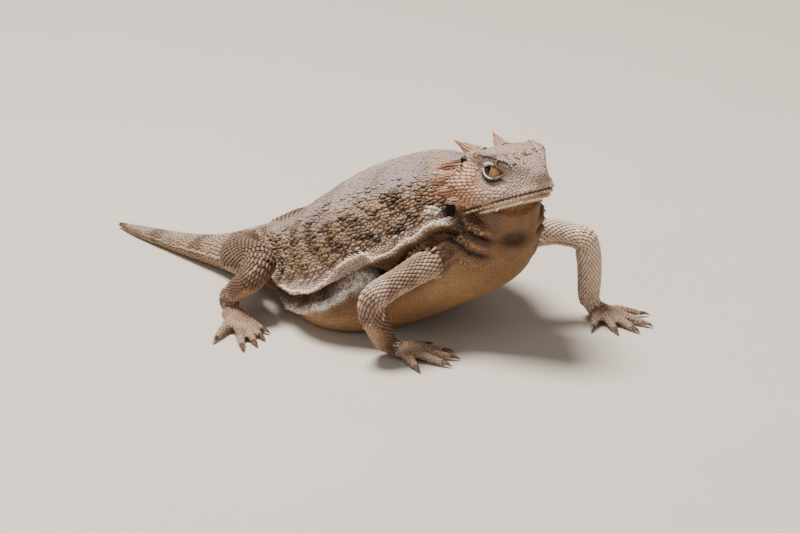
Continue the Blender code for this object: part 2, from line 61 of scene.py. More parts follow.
# name: base, tip (forward, right, up in the head), base radius
HORNS = {
    "occipital": ((-6.0, 2.6, 2.7), (-11.7, 4.3, 5.0), 1.2),
    "temporal_1": ((-6.6, 6.8, 1.5), (-10.1, 9.6, 0.7), 0.95),
    "temporal_2": ((-6.4, 8.4, -0.6), (-9.7, 11.7, -1.3), 1.1),
    "temporal_3": ((-5.3, 9.0, -2.6), (-8.1, 12.0, -3.2), 0.95),
    "temporal_4": ((-4.0, 8.9, -4.3), (-6.0, 11.3, -4.8), 0.72),
}

# trunk and tail along the spine: x, y, z of the level of the side fringe, half width, height above, depth below,
# roll to the right, height of the fringe ridge, squareness of the belly side (1 is round)
SPINE = (
    (-56.0, 70.0, 1.0, 0.5, 0.55, 0.9, 0.0, 0.0, 0.90),
    (-51.5, 64.5, 1.5, 1.3, 1.1, 1.6, 0.0, 0.1, 0.90),
    (-44.5, 57.3, 2.1, 2.2, 1.7, 2.2, 0.0, 0.3, 0.90),
    (-37.5, 50.6, 2.9, 3.4, 2.4, 3.1, 0.0, 0.4, 0.90),
    (-31.2, 45.2, 4.1, 5.2, 3.5, 4.2, 1.0, 0.4, 0.86),
    (-25.0, 40.8, 5.6, 8.6, 5.0, 5.6, 2.0, 0.5, 0.80),
    (-18.0, 36.0, 6.8, 10.3, 7.6, 8.2, 3.0, 0.9, 0.72),
    (-10.0, 30.6, 8.8, 18.0, 12.0, 12.0, 4.0, 1.2, 0.58),
    (-2.0, 24.8, 11.6, 23.0, 15.4, 13.6, 4.5, 1.3, 0.61),
    (5.0, 19.2, 15.6, 22.8, 16.0, 14.8, 4.0, 1.3, 0.74),
    (11.0, 14.0, 19.8, 18.8, 15.2, 14.8, 3.0, 1.2, 0.82),
    (15.6, 9.6, 23.6, 13.8, 12.8, 14.6, 1.5, 0.9, 0.88),
    (18.8, 5.8, 27.2, 10.0, 9.2, 13.2, 0.5, 0.5, 0.90),
    (20.8, 3.0, 30.4, 8.4, 6.8, 10.2, 0.0, 0.1, 0.92),
    (22.6, 0.6, 33.0, 7.0, 5.2, 6.6, 0.0, 0.0, 0.95),
)

# head sections from the nape to the snout: forward; crown height; brow half width and height; orbit half width;
# temple half width and height; lip half width and height; jaw half width and height; throat height
HEAD = (
    (-8.8, 2.0, 3.2, 1.9, 5.4, 7.4, -0.6, 5.8, -3.8, 4.6, -4.8, -5.4),
    (-7.6, 3.1, 4.2, 3.0, 6.8, 9.5, -0.6, 7.9, -4.2, 6.2, -5.4, -6.3),
    (-5.4, 3.5, 5.2, 3.4, 6.8, 10.0, -0.9, 9.3, -4.5, 7.4, -5.7, -6.9),
    (-2.8, 3.5, 6.1, 3.7, 6.2, 8.9, -1.4, 9.0, -4.5, 7.7, -5.8, -6.9),
    (-0.3, 3.55, 6.4, 3.8, 5.0, 7.4, -2.0, 8.0, -4.3, 7.0, -5.6, -6.6),
    (2.0, 3.4, 6.0, 3.5, 4.5, 6.5, -2.3, 6.9, -4.1, 6.1, -5.3, -6.2),
    (4.0, 3.0, 4.9, 2.8, 4.1, 5.4, -2.2, 5.8, -3.8, 5.1, -4.9, -5.7),
    (5.8, 2.3, 3.5, 2.0, 3.6, 4.2, -2.0, 4.6, -3.5, 4.0, -4.5, -5.2),
    (7.3, 1.5, 2.4, 1.3, 2.7, 3.1, -1.8, 3.5, -3.1, 3.0, -4.1, -4.7),
    (8.3, 0.7, 1.6, 0.4, 1.9, 2.3, -1.7, 2.6, -2.9, 2.2, -3.8, -4.3),
    (9.0, -0.5, 0.9, -0.7, 1.1, 1.4, -1.8, 1.7, -2.8, 1.4, -3.5, -3.9),
)

# legs: joints in the layout, x, y, z, radius
FORELEG = {
    "right": ((12.6, 5.4, 19.4, 3.9), (9.0, 0.4, 18.1, 3.2), (3.6, -4.6, 16.5, 2.7), (-2.2, -8.0, 13.7, 2.7),
              (-2.8, -7.8, 10.5, 2.7), (-1.8, -5.8, 6.8, 2.6), (-0.6, -4.0, 3.5, 2.3), (1.1, -3.6, 1.8, 1.8)),
    "left": ((23.6, 13.2, 19.6, 3.9), (27.2, 15.2, 18.2, 3.2), (32.4, 16.0, 18.0, 2.6), (37.4, 15.0, 17.0, 2.5),
             (38.6, 15.4, 13.6, 2.45), (38.9, 16.6, 8.2, 2.35), (39.0, 17.8, 4.0, 2.1), (40.2, 17.8, 1.9, 1.7)),
}
HINDLEG = {
    "right": ((-24.5, 38.6, 7.0, 4.0), (-28.4, 32.2, 7.9, 4.0), (-28.8, 24.2, 10.2, 3.8), (-25.2, 16.5, 11.8, 3.6),
              (-26.3, 13.9, 9.4, 2.9), (-28.9, 15.7, 6.5, 2.4), (-30.9, 18.6, 3.6, 2.1), (-30.6, 17.6, 1.8, 1.8)),
    "left": ((-24.0, 42.0, 6.4, 3.6), (-20.5, 48.4, 6.4, 3.7), (-15.6, 52.4, 7.2, 3.6), (-9.0, 54.6, 8.0, 3.4),
             (-8.0, 58.0, 7.0, 2.7), (-11.6, 60.0, 5.6, 2.4), (-15.4, 61.6, 3.3, 2.1), (-15.1, 62.8, 1.8, 1.8)),
}
# feet: centre of the palm, its half length and half width, directions of the five toes as yaw, and their lengths
PALM = {
    "fore_right": ((2.2, -3.6), 2.9, 2.5, (-42, -10, 10, 30, 66), (4.6, 6.8, 8.2, 8.0, 5.4)),
    "fore_left": ((41.2, 17.2), 2.9, 2.5, (104, 72, 52, 32, -4), (4.6, 6.8, 8.2, 8.0, 5.4)),
    "hind_right": ((-29.4, 13.6), 4.0, 2.6, (42, 58, 70, 82, 110), (5.0, 7.4, 9.8, 11.4, 7.4)),
    "hind_left": ((-13.0, 66.0), 4.0, 2.6, (-16, -36, -50, -62, -90), (5.0, 7.4, 9.8, 11.4, 7.4)),
}
TOE_RADII = (1.15, 1.0, 0.78)
CLAW_LENGTH, CLAW_RADIUS = 2.0, 0.45

# ----------------------------------------------------------------------------- shape
def spline(rows, count):
    """count rows on a smooth curve through rows, end to end."""
    rows = np.array(rows, float)
    ends = np.vstack([2 * rows[0] - rows[1], rows, 2 * rows[-1] - rows[-2]])
    t = np.linspace(0, len(rows) - 1, count)
    i = np.minimum(t.astype(int), len(rows) - 2)
    u = (t - i)[:, None]
    a, b, c, d = ends[i], ends[i + 1], ends[i + 2], ends[i + 3]
    return 0.5 * (2 * b + (c - a) * u + (2 * a - 5 * b + 4 * c - d) * u**2 + (3 * b - a - 3 * c + d) * u**3)


def unit(v):
    v = np.asarray(v, float)
    return v / np.maximum(np.linalg.norm(v, axis=-1, keepdims=True), 1e-9)


def power(v, p):
    return np.sign(v) * np.abs(v) ** p


def frames(points):
    """Tangent, side and up of a path; side is level."""
    tangent = unit(np.gradient(points, axis=0))
    side = unit(np.cross(tangent, (0.0, 0.0, 1.0)))
    return tangent, side, np.cross(side, tangent)


def trunk_rings(stations, around):
    """Rings of the trunk, neck and tail: a domed back, a fuller belly, a fringe ridge on each side with a fold below."""
    rows = spline(SPINE, stations)
    tangent, side, up = frames(rows[:, :3])
    a = np.linspace(0, 2 * math.pi, around, endpoint=False)
    a = a - 0.16 * np.sin(2 * a)  # closer together at the sides
    ca, sa = np.cos(a), np.sin(a)
    rings = []
    for row, s, u in zip(rows, side, up):
        half, above, below, roll, ridge, square = row[3:9]
        x = half * np.where(sa > 0, power(ca, 0.96), power(ca, square))
        y = np.where(sa > 0, above * power(sa, 1.0), below * power(sa, 0.86))
        out = np.sign(ca) * np.clip(np.abs(ca) * 3, 0, 1)
        fold = ridge * (
            np.exp(-(((y + 0.1) / 1.0) ** 2)) - 0.9 * np.exp(-(((y + 2.5) / 1.1) ** 2)) + 0.5 * np.exp(-(((y + 4.9) / 1.2) ** 2))
        )
        x = x + out * fold
        r = math.radians(roll)
        x, y = x * math.cos(r) + y * math.sin(r), -x * math.sin(r) + y * math.cos(r)
        rings.append(row[:3] + x[:, None] * s + y[:, None] * u)
    return np.array(rings)


def head_frame():
    """Origin, forward, right and up of the head in the layout."""
    y, p = math.radians(HEAD_YAW), math.radians(HEAD_PITCH)
    f = np.array((math.cos(p) * math.cos(y), -math.cos(p) * math.sin(y), math.sin(p)))
    r = np.array((-math.sin(y), -math.cos(y), 0.0))
    return np.array(HEAD_CENTRE), f, r, np.cross(r, f)


def in_head(points, side=1):
    """Points given as forward, right and up in the head, on its right (1) or left (-1) side, in the layout."""
    p = np.atleast_2d(np.asarray(points, float)) * HEAD_SIZE
    o, f, r, u = head_frame()
    return o + p[:, :1] * f + side * p[:, 1:2] * r + p[:, 2:3] * u


def head_rings(stations, around):
    """Rings of the head, each through its crown, brow, orbit, temple, lip, jaw and throat."""
    rings = []
    half = around // 2
    for f, crown, by, bz, oy, ty, tz, ly, lz, jy, jz, throat in spline(HEAD, stations):
        corners = (
            (0.0, crown), (by * 0.55, crown + 0.05), (by, bz), (oy * 0.6 + by * 0.4, bz * 0.55 + tz * 0.45),
            (ty, tz), (ty * 0.5 + ly * 0.5 + 0.15, tz * 0.45 + lz * 0.55), (ly, lz), (jy, jz), (jy * 0.55, throat + 0.25), (0.0, throat),
        )
        line = spline(corners, half + 1)
        right = [(f, y, z) for y, z in line]
        left = [(f, -y, z) for y, z in line[1:-1][::-1]]
        rings.append(in_head(right + left))
    return np.array(rings)


def tube_rings(rows, stations, around, flat=1.0):
    """Rings of a round tube along rows of x, y, z, radius; flat squashes it in height."""
    rows = spline(rows, stations)
    points = rows[:, :3]
    tangent = unit(np.gradient(points, axis=0))
    side = unit(np.cross(tangent[0], (0.0, 0.0, 1.0)))
    a = np.linspace(0, 2 * math.pi, around, endpoint=False)
    rings = []
    for row, t in zip(rows, tangent):
        side = unit(side - t * float(side @ t))
        up = np.cross(side, t)
        rings.append(row[:3] + row[3] * (np.cos(a)[:, None] * side + flat * np.sin(a)[:, None] * up))
    return np.array(rings)


def round_ends(rings, steps=3):
    """The rings with each end drawn in to a dome."""
    out = list(rings)
    for end, inner in ((0, 1), (-1, -2)):
        centre = rings[end].mean(0)
        radius = np.linalg.norm(rings[end] - centre, axis=1).mean()
        away = unit(centre - rings[inner].mean(0))
        for k in range(1, steps + 1):
            a = 0.5 * math.pi * k / (steps + 0.6)
            ring = centre + (rings[end] - centre) * math.cos(a) + away * radius * 0.8 * math.sin(a)
            out = [ring, *out] if end == 0 else [*out, ring]
    return np.array(out)


def yaw(deg):
    """Level direction at this yaw; 0 is +X of the layout and 90 is -Y."""
    return np.array((math.cos(math.radians(deg)), -math.sin(math.radians(deg)), 0.0))


def toes(foot):
    """Start, direction and length of each toe of a foot."""
    (px, py), long, wide, yaws, lengths = PALM[foot]
    middle = yaw(yaws[2])
    across = np.array((-middle[1], middle[0], 0.0))
    centre = np.array((px, py, 0.0))
    found = []
    for deg, length in zip(yaws, lengths):
        d = yaw(deg)
        start = centre + middle * long * 0.35 + across * float(d @ across) * wide * 0.75
        found.append((start, d, length))
    return found


def toe_rows(start, d, length):
    """A toe as a low arch from the palm to its tip."""
    r0, r1, r2 = TOE_RADII
    lift = (1.5, 1.55, 1.2, 0.86)
    along = (0.0, 0.35, 0.7, 1.0)
    radii = (r0, (r0 + r1) / 2, r1 * 0.92, r2)
    return [tuple(start + d * length * s) [:2] + (z, r) for s, z, r in zip(along, lift, radii)]


def palm_rings(foot, around):
    (px, py), long, wide, yaws, _ = PALM[foot]
    middle = yaw(yaws[2])
    c = np.array((px, py, 0.0))
    rows = []
    for s, r in ((-1.0, 0.55), (-0.6, 0.9), (0.0, 1.0), (0.5, 0.98), (0.9, 0.7)):
        p = c + middle * long * s
        rows.append((p[0], p[1], 1.55 - 0.15 * s, wide * r))
    return tube_rings(rows, 9, around, flat=0.62)


def mesh_of(rings):
    """Vertices and faces of the closed skin over a stack of rings."""
    m, k, _ = rings.shape
    verts = np.vstack([rings.reshape(-1, 3), rings[0].mean(0), rings[-1].mean(0)])
    i, j = np.meshgrid(np.arange(m - 1), np.arange(k), indexing="ij")
    a, b = i * k + j, i * k + (j + 1) % k
    quads = np.stack([a, b, b + k, a + k], -1).reshape(-1, 4).tolist()
    first, last = m * k, m * k + 1
    caps = [(first, (j + 1) % k, j) for j in range(k)] + [(last, (m - 1) * k + j, (m - 1) * k + (j + 1) % k) for j in range(k)]
    return verts, quads + caps


def ball(centre, radii, axes=None, steps=10, around=20):
    """Rings of an ellipsoid."""
    axes = np.eye(3) if axes is None else np.asarray(axes, float)
    rings = []
    for t in np.linspace(-0.49 * math.pi, 0.49 * math.pi, steps):
        a = np.linspace(0, 2 * math.pi, around, endpoint=False)
        p = np.stack([np.cos(a) * math.cos(t) * radii[0], np.sin(a) * math.cos(t) * radii[1], np.full_like(a, math.sin(t) * radii[2])], -1)
        rings.append(np.asarray(centre) + p @ axes)
    return np.array(rings)


def flesh_rings(fine=1):
    """The overlapping forms that make up the flesh."""
    forms = [trunk_rings(70 * fine, 72 * fine), head_rings(26 * fine, 56 * fine)]
    for side in FORELEG:
        forms.append(round_ends(tube_rings(FORELEG[side], 30 * fine, 20 * fine)))
        forms.append(round_ends(tube_rings(HINDLEG[side], 30 * fine, 20 * fine)))
    for foot in PALM:
        forms.append(round_ends(palm_rings(foot, 20 * fine)))
        for start, d, length in toes(foot):
            forms.append(round_ends(tube_rings(toe_rows(start, d, length), 10 * fine, 12 * fine)))
    for side in (1, -1):
        c = in_head(EYE_CENTRE, side)[0]
        forms.append(ball(c, (LID_RADIUS,) * 3, steps=14 * fine, around=24 * fine))
    # breast and shoulders, and the fat of the neck under the jaw
    forms.append(ball((17.8, 8.6, 19.6), (9.6, 9.6, 9.0), steps=14 * fine, around=24 * fine))
    return forms


def to_model(points):
    """Layout in millimetres to the model in metres."""
    p = np.asarray(points, float)
    a = math.radians(TURN)
    x = p[..., 0] * math.cos(a) - p[..., 1] * math.sin(a) + SHIFT[0]
    y = p[..., 0] * math.sin(a) + p[..., 1] * math.cos(a) + SHIFT[1]
    return np.stack([x, y, p[..., 2]], -1) * MM


def horn_bend(name):
    return (0.0, 0.0, -0.25) if name == "occipital" else (0.0, 0.25, 0.15)


# ----------------------------------------------------------------------------- helpers
RNG = np.random.default_rng(11)
GRAIN = 0.36  # mm, grain of the skin
ROWS = len(SPINE) - 1


def from_model(points):
    """The model in metres to the layout in millimetres."""
    p = np.asarray(points, float) / MM
    a = math.radians(-TURN)
    x, y = p[..., 0] - SHIFT[0], p[..., 1] - SHIFT[1]
    return np.stack([x * math.cos(a) - y * math.sin(a), x * math.sin(a) + y * math.cos(a), p[..., 2]], -1)


def turn_to_model(v):
    """A direction in the layout as one in the model frame."""
    a = math.radians(TURN)
    return np.stack([v[..., 0] * math.cos(a) - v[..., 1] * math.sin(a), v[..., 0] * math.sin(a) + v[..., 1] * math.cos(a), v[..., 2]], -1)


def step(x, lo, hi):
    t = np.clip((np.asarray(x, float) - lo) / (hi - lo), 0, 1)
    return t * t * (3 - 2 * t)


def bump(x, centre, width):
    return np.exp(-(((np.asarray(x, float) - centre) / width) ** 2))


def lattice(i, seed):
    n = (i[..., 0] * 73856093) ^ (i[..., 1] * 19349663) ^ (i[..., 2] * 83492791) ^ (seed * 97531)
    n = n & 0xFFFFFFFF
    n = ((n ^ (n >> 13)) * 1274126177) & 0xFFFFFFFF
    n = n ^ (n >> 16)
    return (n & 0xFFFF) / 32767.5 - 1.0


def noise(p, size, seed=0):
    """Smooth noise in -1 to 1 with features of about this size."""
    q = np.asarray(p, float) / size + 31.7 * (seed + 1)
    i = np.floor(q).astype(np.int64)
    f = q - i
    f = f * f * (3 - 2 * f)
    total = 0.0
    for dx in (0, 1):
        for dy in (0, 1):
            for dz in (0, 1):
                w = (f[..., 0] if dx else 1 - f[..., 0]) * (f[..., 1] if dy else 1 - f[..., 1]) * (f[..., 2] if dz else 1 - f[..., 2])
                total = total + w * lattice(i + np.array((dx, dy, dz)), seed)
    return total


def linear(*srgb):
    """Linear colour of an 8-bit one."""
    c = np.array(srgb, float) / 255
    return np.where(c <= 0.04045, c / 12.92, ((c + 0.055) / 1.055) ** 2.4)


def mesh_object(name, verts, faces_flat, counts, smooth=True):
    """A mesh object from flat arrays, vertices in the layout."""
    mesh = bpy.data.meshes.new(name)
    co = to_model(verts).astype(np.float32)
    mesh.vertices.add(len(co))
    mesh.vertices.foreach_set("co", co.ravel())
    mesh.loops.add(len(faces_flat))
    mesh.loops.foreach_set("vertex_index", np.asarray(faces_flat, np.int32))
    mesh.polygons.add(len(counts))
    starts = np.concatenate([[0], np.cumsum(counts)[:-1]]).astype(np.int32)
    mesh.polygons.foreach_set("loop_start", starts)
    mesh.polygons.foreach_set("loop_total", np.asarray(counts, np.int32))
    mesh.update(calc_edges=True)
    mesh.validate()
    if smooth:
        mesh.shade_smooth()
    obj = bpy.data.objects.new(name, mesh)
    bpy.context.scene.collection.objects.link(obj)
    return obj


def paint(obj, colours, name="Hide"):
    layer = obj.data.color_attributes.new(name, "FLOAT_COLOR", "POINT")
    rgba = np.ones((len(colours), 4), np.float32)
    rgba[:, :3] = np.clip(colours, 0, 1)
    layer.data.foreach_set("color", rgba.ravel())


def vertex_arrays(obj):
    n = len(obj.data.vertices)
    co, no = np.empty(n * 3, np.float32), np.empty(n * 3, np.float32)
    obj.data.vertices.foreach_get("co", co)
    obj.data.vertex_normals.foreach_get("vector", no)
    a = math.radians(-TURN)
    no = no.reshape(-1, 3).astype(float)
    no = np.stack([no[:, 0] * math.cos(a) - no[:, 1] * math.sin(a), no[:, 0] * math.sin(a) + no[:, 1] * math.cos(a), no[:, 2]], -1)
    return from_model(co.reshape(-1, 3)), no


def set_vertices(obj, layout):
    obj.data.vertices.foreach_set("co", to_model(layout).astype(np.float32).ravel())
    obj.data.update()


# ----------------------------------------------------------------------------- the animal's own map
TRUNK, HEADPART, FORE, HIND, FOOT, LID = range(6)
HO, HF, HR, HU = head_frame()


def head_coords(p):
    q = (p - HO) / HEAD_SIZE
    return q @ HF, q @ HR, q @ HU


class Chart:
    """Samples of the forms that make up the animal. Each knows its part, how far along and around it is,
    which way the scales lie there, and its place on an unrolled map of the skin."""

    def __init__(self):
        self.rows = {k: [] for k in ("p", "part", "s", "a", "lie", "uv", "side", "xl", "yl")}

    def add(self, rings, part, s, a, lie, uv0, uv1, side=0, xl=None, yl=None):
        m, k, _ = rings.shape
        flat = rings.reshape(-1, 3)
        n = len(flat)
        ss = np.repeat(np.asarray(s, float), k)
        aa = np.tile(np.asarray(a, float), m)
        u = uv0[0] + (uv1[0] - uv0[0]) * np.repeat(np.linspace(0, 1, m), k)
        v = uv0[1] + (uv1[1] - uv0[1]) * np.tile(np.arange(k) / k, m)
        self.rows["p"].append(flat)
        self.rows["part"].append(np.full(n, part))
        self.rows["s"].append(ss)
        self.rows["a"].append(aa)
        self.rows["lie"].append(lie.reshape(-1, 3))
        self.rows["uv"].append(np.stack([u, v], -1))
        self.rows["side"].append(np.full(n, side))
        self.rows["xl"].append(np.zeros(n) if xl is None else xl.ravel())
        self.rows["yl"].append(np.zeros(n) if yl is None else yl.ravel())

    def close(self):
        for key, value in self.rows.items():
            setattr(self, key, np.concatenate(value))
        self.tree = KDTree(len(self.p))
        for i, q in enumerate(self.p.tolist()):
            self.tree.insert(q, i)
        self.tree.balance()

    def nearest(self, points):
        find = self.tree.find
        return np.array([find(q)[1] for q in np.asarray(points).tolist()])


def make_chart():
    chart = Chart()
    n, k = 421, 420
    rings = trunk_rings(n, k)
    s = np.linspace(0, ROWS, n)
    a = np.linspace(0, 2 * math.pi, k, endpoint=False)
    a = a - 0.16 * np.sin(2 * a)
    rows = spline(SPINE, n)
    tangent, side, up = frames(rows[:, :3])
    rel = rings - rows[:, None, :3]
    xl = (rel * side[:, None]).sum(-1)
    yl = (rel * up[:, None]).sum(-1)
    roll = np.radians(rows[:, 6])[:, None]
    yl = xl * np.sin(roll) + yl * np.cos(roll)
    lie = -unit(np.gradient(rings, axis=0))
    chart.add(rings, TRUNK, s, a, lie, (0.01, 0.01), (0.99, 0.60), 0, xl, yl)
    n, k = 110, 120
    rings = head_rings(n, k)
    lie = -unit(np.gradient(rings, axis=0))
    chart.add(rings, HEADPART, np.linspace(0, 1, n), np.arange(k) / k * 2 * math.pi, lie, (0.01, 0.62), (0.31, 0.86))
    x = 0.33
    for word, legs, part in (("fore", FORELEG, FORE), ("hind", HINDLEG, HIND)):
        for side, rows in legs.items():
            rings = tube_rings(rows, 100, 48)
            lie = unit(np.gradient(rings, axis=0))
            chart.add(rings, part, np.linspace(0, len(rows) - 1, 100), np.arange(48) / 48 * 2 * math.pi, lie, (x, 0.62), (x + 0.15, 0.74), 1 if side == "right" else -1)
            x += 0.165
    x = 0.33
    for foot in PALM:
        sign = 1 if foot.endswith("right") else -1
        rings = round_ends(palm_rings(foot, 28), 5)
        m = len(rings)
        middle = yaw(PALM[foot][3][2])
        lie = np.broadcast_to(middle, rings.shape)
        chart.add(rings, FOOT, np.linspace(-1, 1, m), np.arange(28) / 28 * 2 * math.pi, lie, (x, 0.755), (x + 0.15, 0.80), sign)
        y = 0.81
        for start, d, length in toes(foot):
            rings = round_ends(tube_rings(toe_rows(start, d, length), 24, 18), 4)
            lie = np.broadcast_to(d, rings.shape)
            chart.add(rings, FOOT, np.linspace(1, 2, len(rings)), np.arange(18) / 18 * 2 * math.pi, lie, (x, y), (x + 0.15, y + 0.033), sign)
            y += 0.037
        x += 0.165
    for sign in (1, -1):
        c = in_head(EYE_CENTRE, sign)[0]
        rings = ball(c, (LID_RADIUS,) * 3, steps=26, around=40)
        keep = rings
        lie = np.broadcast_to(-HF, rings.shape)
        x = 0.01 if sign > 0 else 0.17
        chart.add(keep, LID, np.linspace(0, 1, 26), np.arange(40) / 40 * 2 * math.pi, lie, (x, 0.88), (x + 0.14, 0.99), sign)
    chart.close()
    return chart


CHART = make_chart()


class Spots:
    """Points on the skin with what the map says of them."""

    def __init__(self, p, normal, index):
        self.p, self.normal, self.index = p, normal, index
        self.part, self.s, self.a = CHART.part[index], CHART.s[index], CHART.a[index]
        self.side, self.xl, self.yl, self.uv = CHART.side[index], CHART.xl[index], CHART.yl[index], CHART.uv[index]
        self.ye = self.yl - edge_height(self.s)
        self.hf, self.hr, self.hu = head_coords(p)
        lie = CHART.lie[index]
        lie = lie - normal * (lie * normal).sum(-1, keepdims=True)
        weak = np.linalg.norm(lie, axis=-1) < 0.15
        lie[weak] = np.cross(normal[weak], (0.3, 0.9, 0.1))
        self.lie = unit(lie)
        # how far round the trunk from the middle of the back: 0 there, 1 at the fringe, 2 under the belly
        a = np.mod(self.a, 2 * math.pi)
        up = np.abs(a - math.pi / 2)
        self.e = np.where(up > math.pi, 2 * math.pi - up, up) / (math.pi / 2)
        self.right = np.where(self.part == TRUNK, self.xl > 0, np.where((self.part == HEADPART) | (self.part == LID), self.hr > 0, self.side > 0))

    def __len__(self):
        return len(self.p)

    def pick(self, mask):
        return Spots(self.p[mask], self.normal[mask], self.index[mask])


# ----------------------------------------------------------------------------- skin
def mouth_height(f):
    """Height in the head of the line of the mouth."""
    return -5.4 + 0.276 * f


NOSTRIL = (8.05, 1.05, -0.25)


def flap(s):
    """How strongly the fringe stands out along the flank: scallops, and the flap over the shoulder."""
    return 0.70 + 0.14 * np.sin((s - 7.2) * 4.0) + 0.75 * bump(s, 12.0, 0.35) + 0.35 * bump(s, 9.75, 0.25)


def edge_height(s):
    """Height of the edge of the fringe over the level of the spine's row; it waves, and drops over the shoulder."""
    s = np.asarray(s, float)
    wave = step(s, 8.45, 9.4) * (1 - step(s, 9.62, 9.95))
    return -0.35 + 2.0 * wave - 1.5 * step(s, 11.6, 12.2) + 0.15 * np.sin(s * 9.0)


def groove_height(s):
    """Height of the groove under the fringe, over its edge."""
    return -1.6 - 1.9 * step(s, 8.85, 9.35) + 1.2 * step(s, 9.8, 10.5)


def sugar_height(s):
    """Height of the whitish fold under the groove, over the edge of the fringe."""
    return -3.15 - 1.25 * (1 - step(s, 7.0, 8.3)) - 1.1 * step(s, 8.8, 9.4)


def pit(q):
    """1 in the hollow of the neck in front of the flap, 0 outside it."""
    return (q.part == TRUNK) * np.exp(-(((q.s - 12.22) / 0.27) ** 2) - ((q.yl - 0.5) / 1.7) ** 2) * (q.e < 1.6)


def crestlet(q):
    """1 on the short crest over the flap of the shoulder."""
    t = np.clip((q.s - 11.5) / 0.5, 0, 1)
    return (q.part == TRUNK) * bump(q.yl, 2.9 - 1.9 * t, 0.42) * step(q.s, 11.38, 11.52) * (1 - step(q.s, 11.78, 11.92)) * (q.e < 1.3)


def folds(q):
    """Folds of the neck and shoulder, -1 in a crease to 1 on a crest."""
    where = step(q.s, 11.3, 12.0) * step(q.e, 1.05, 1.16) * (1 - step(q.e, 1.45, 1.75)) * (1 - step(q.s, 13.0, 13.5)) * (q.part == TRUNK)
    turn = (q.s - 1.0 * (q.e - 1.0)) * 9.6 + 1.0 * noise(q.p, 3.2, 6) + 0.3 * noise(q.p, 1.3, 7)
    wave = np.sin(turn)
    # narrow creases between broad rolls
    return where * (0.75 * wave + 0.25 - 1.0 * np.exp(-(((wave + 1) / 0.16) ** 2)))


def gular(q):
    """1 in the middle of the hollow under the throat, 0 outside it."""
    a = np.mod(np.degrees(q.a), 360.0)
    return (q.part == TRUNK) * np.exp(-(((q.s - 13.08) / 0.30) ** 2) - ((a - 276.0) / 21.0) ** 2)


def sculpt(q):
    """How far the skin stands off the plain form along its normal, in mm."""
    out = np.zeros(len(q))
    t = q.part == TRUNK
    body = step(q.s, 5.4, 7.0) * (1 - step(q.s, 12.2, 12.45))
    ye = q.ye
    # the plain form's own ridge is moved to the waving edge
    moved = 1.0 * (bump(ye, 0.0, 0.8) - bump(q.yl, -0.1, 1.0)) * step(q.s, 8.2, 8.8)
    crest = 1.0 * bump(ye, 0.25, 0.36) * flap(q.s)
    groove = -1.35 * bump(ye, groove_height(q.s), 0.78)
    lower = 1.0 * bump(ye, sugar_height(q.s) - 0.1, 0.68) * (0.85 + 0.4 * noise(q.p, 1.8, 4)) * (1 - step(q.s, 9.3, 9.8))
    out += t * body * (moved + crest + groove + lower)
    out += 0.8 * crestlet(q) - 1.7 * pit(q)
    # soft folds of the flank and wrinkles of the neck
    flank = t * step(q.e, 1.04, 1.10) * (1 - step(q.e, 1.3, 1.5)) * body
    out += flank * (0.16 * noise(q.p * np.array((1.0, 1.0, 0.55)), 2.2, 5) + 0.16 * np.sin(q.yl * 4.0 + 1.5 * noise(q.p, 4.0, 40)) * step(q.s, 9.8, 10.5))
    out += 0.55 * folds(q)
    out += t * (1 - step(q.e, 0.9, 1.0)) * 0.14 * noise(q.p, 2.6, 8) * step(q.s, 4.5, 6.5)
    # hollow and creases of the throat
    out -= 1.0 * gular(q)
    out += t * step(q.e, 1.5, 1.8) * step(q.s, 11.8, 12.6) * 0.12 * noise(q.p, 1.6, 9)
    limb = (q.part == FORE) | (q.part == HIND)
    out += limb * 0.08 * noise(q.p, 1.6, 10)
    h = (q.part == HEADPART) | ((q.part == TRUNK) & (q.s > 12.7) & (q.hf > -6) & (q.hu > -7.6))
    line = mouth_height(q.hf)
    along = step(q.hf, -5.8, -4.6)
    out += h * along * (-0.45 * bump(q.hu, line + 0.05, 0.2) + 0.14 * bump(q.hu, line + 0.55, 0.4) + 0.14 * bump(q.hu, line - 0.32, 0.2) - 0.2 * bump(q.hu, line - 0.66, 0.16) + 0.36 * bump(q.hu, line - 1.05, 0.24) - 0.2 * bump(q.hu, line - 1.5, 0.24))
    side = np.abs(q.hr)
    d = np.sqrt((q.hf - NOSTRIL[0]) ** 2 + (side - NOSTRIL[1]) ** 2 + (q.hu - NOSTRIL[2]) ** 2)
    out += h * (-0.75 * bump(d, 0, 0.34) + 0.16 * bump(d, 0.68, 0.26))
    # brow ridge over the eye and down to the snout
    t_ = np.clip((q.hf + 3.0) / 9.0, 0, 1)
    ridge = np.sqrt((side - (6.3 - 2.9 * t_ - 0.6 * t_**2)) ** 2 + (q.hu - (3.75 - 0.5 * t_ - 1.3 * t_**2)) ** 2)
    out += h * 0.36 * bump(ridge, 0, 0.65) * step(q.hf, -4.5, -2.5) * (1 - step(q.hf, 4.6, 6.2))
    # hollow in front of the eye, plates and hollows of the temple
    out -= h * 0.30 * np.exp(-(((q.hf - 4.8) / 1.4) ** 2) - ((q.hu + 0.3) / 1.2) ** 2) * (side > 2)
    out += h * 0.09 * noise(q.p, 1.1, 12)
    out -= h * 0.45 * crease_of_lid(q) + 0.35 * brow_line(q) + 0.5 * nape(q)
    # the skin rises to the roots of the horns
    for name, (base, tip, radius) in HORNS.items():
        d = np.sqrt((q.hf - base[0]) ** 2 + (side - base[1]) ** 2 + (q.hu - base[2]) ** 2)
        out += (h | (q.s > 13.0) & t) * (0.95 if name == "temporal_1" else 0.6) * bump(d, 0.0, radius * 1.5)
    return out
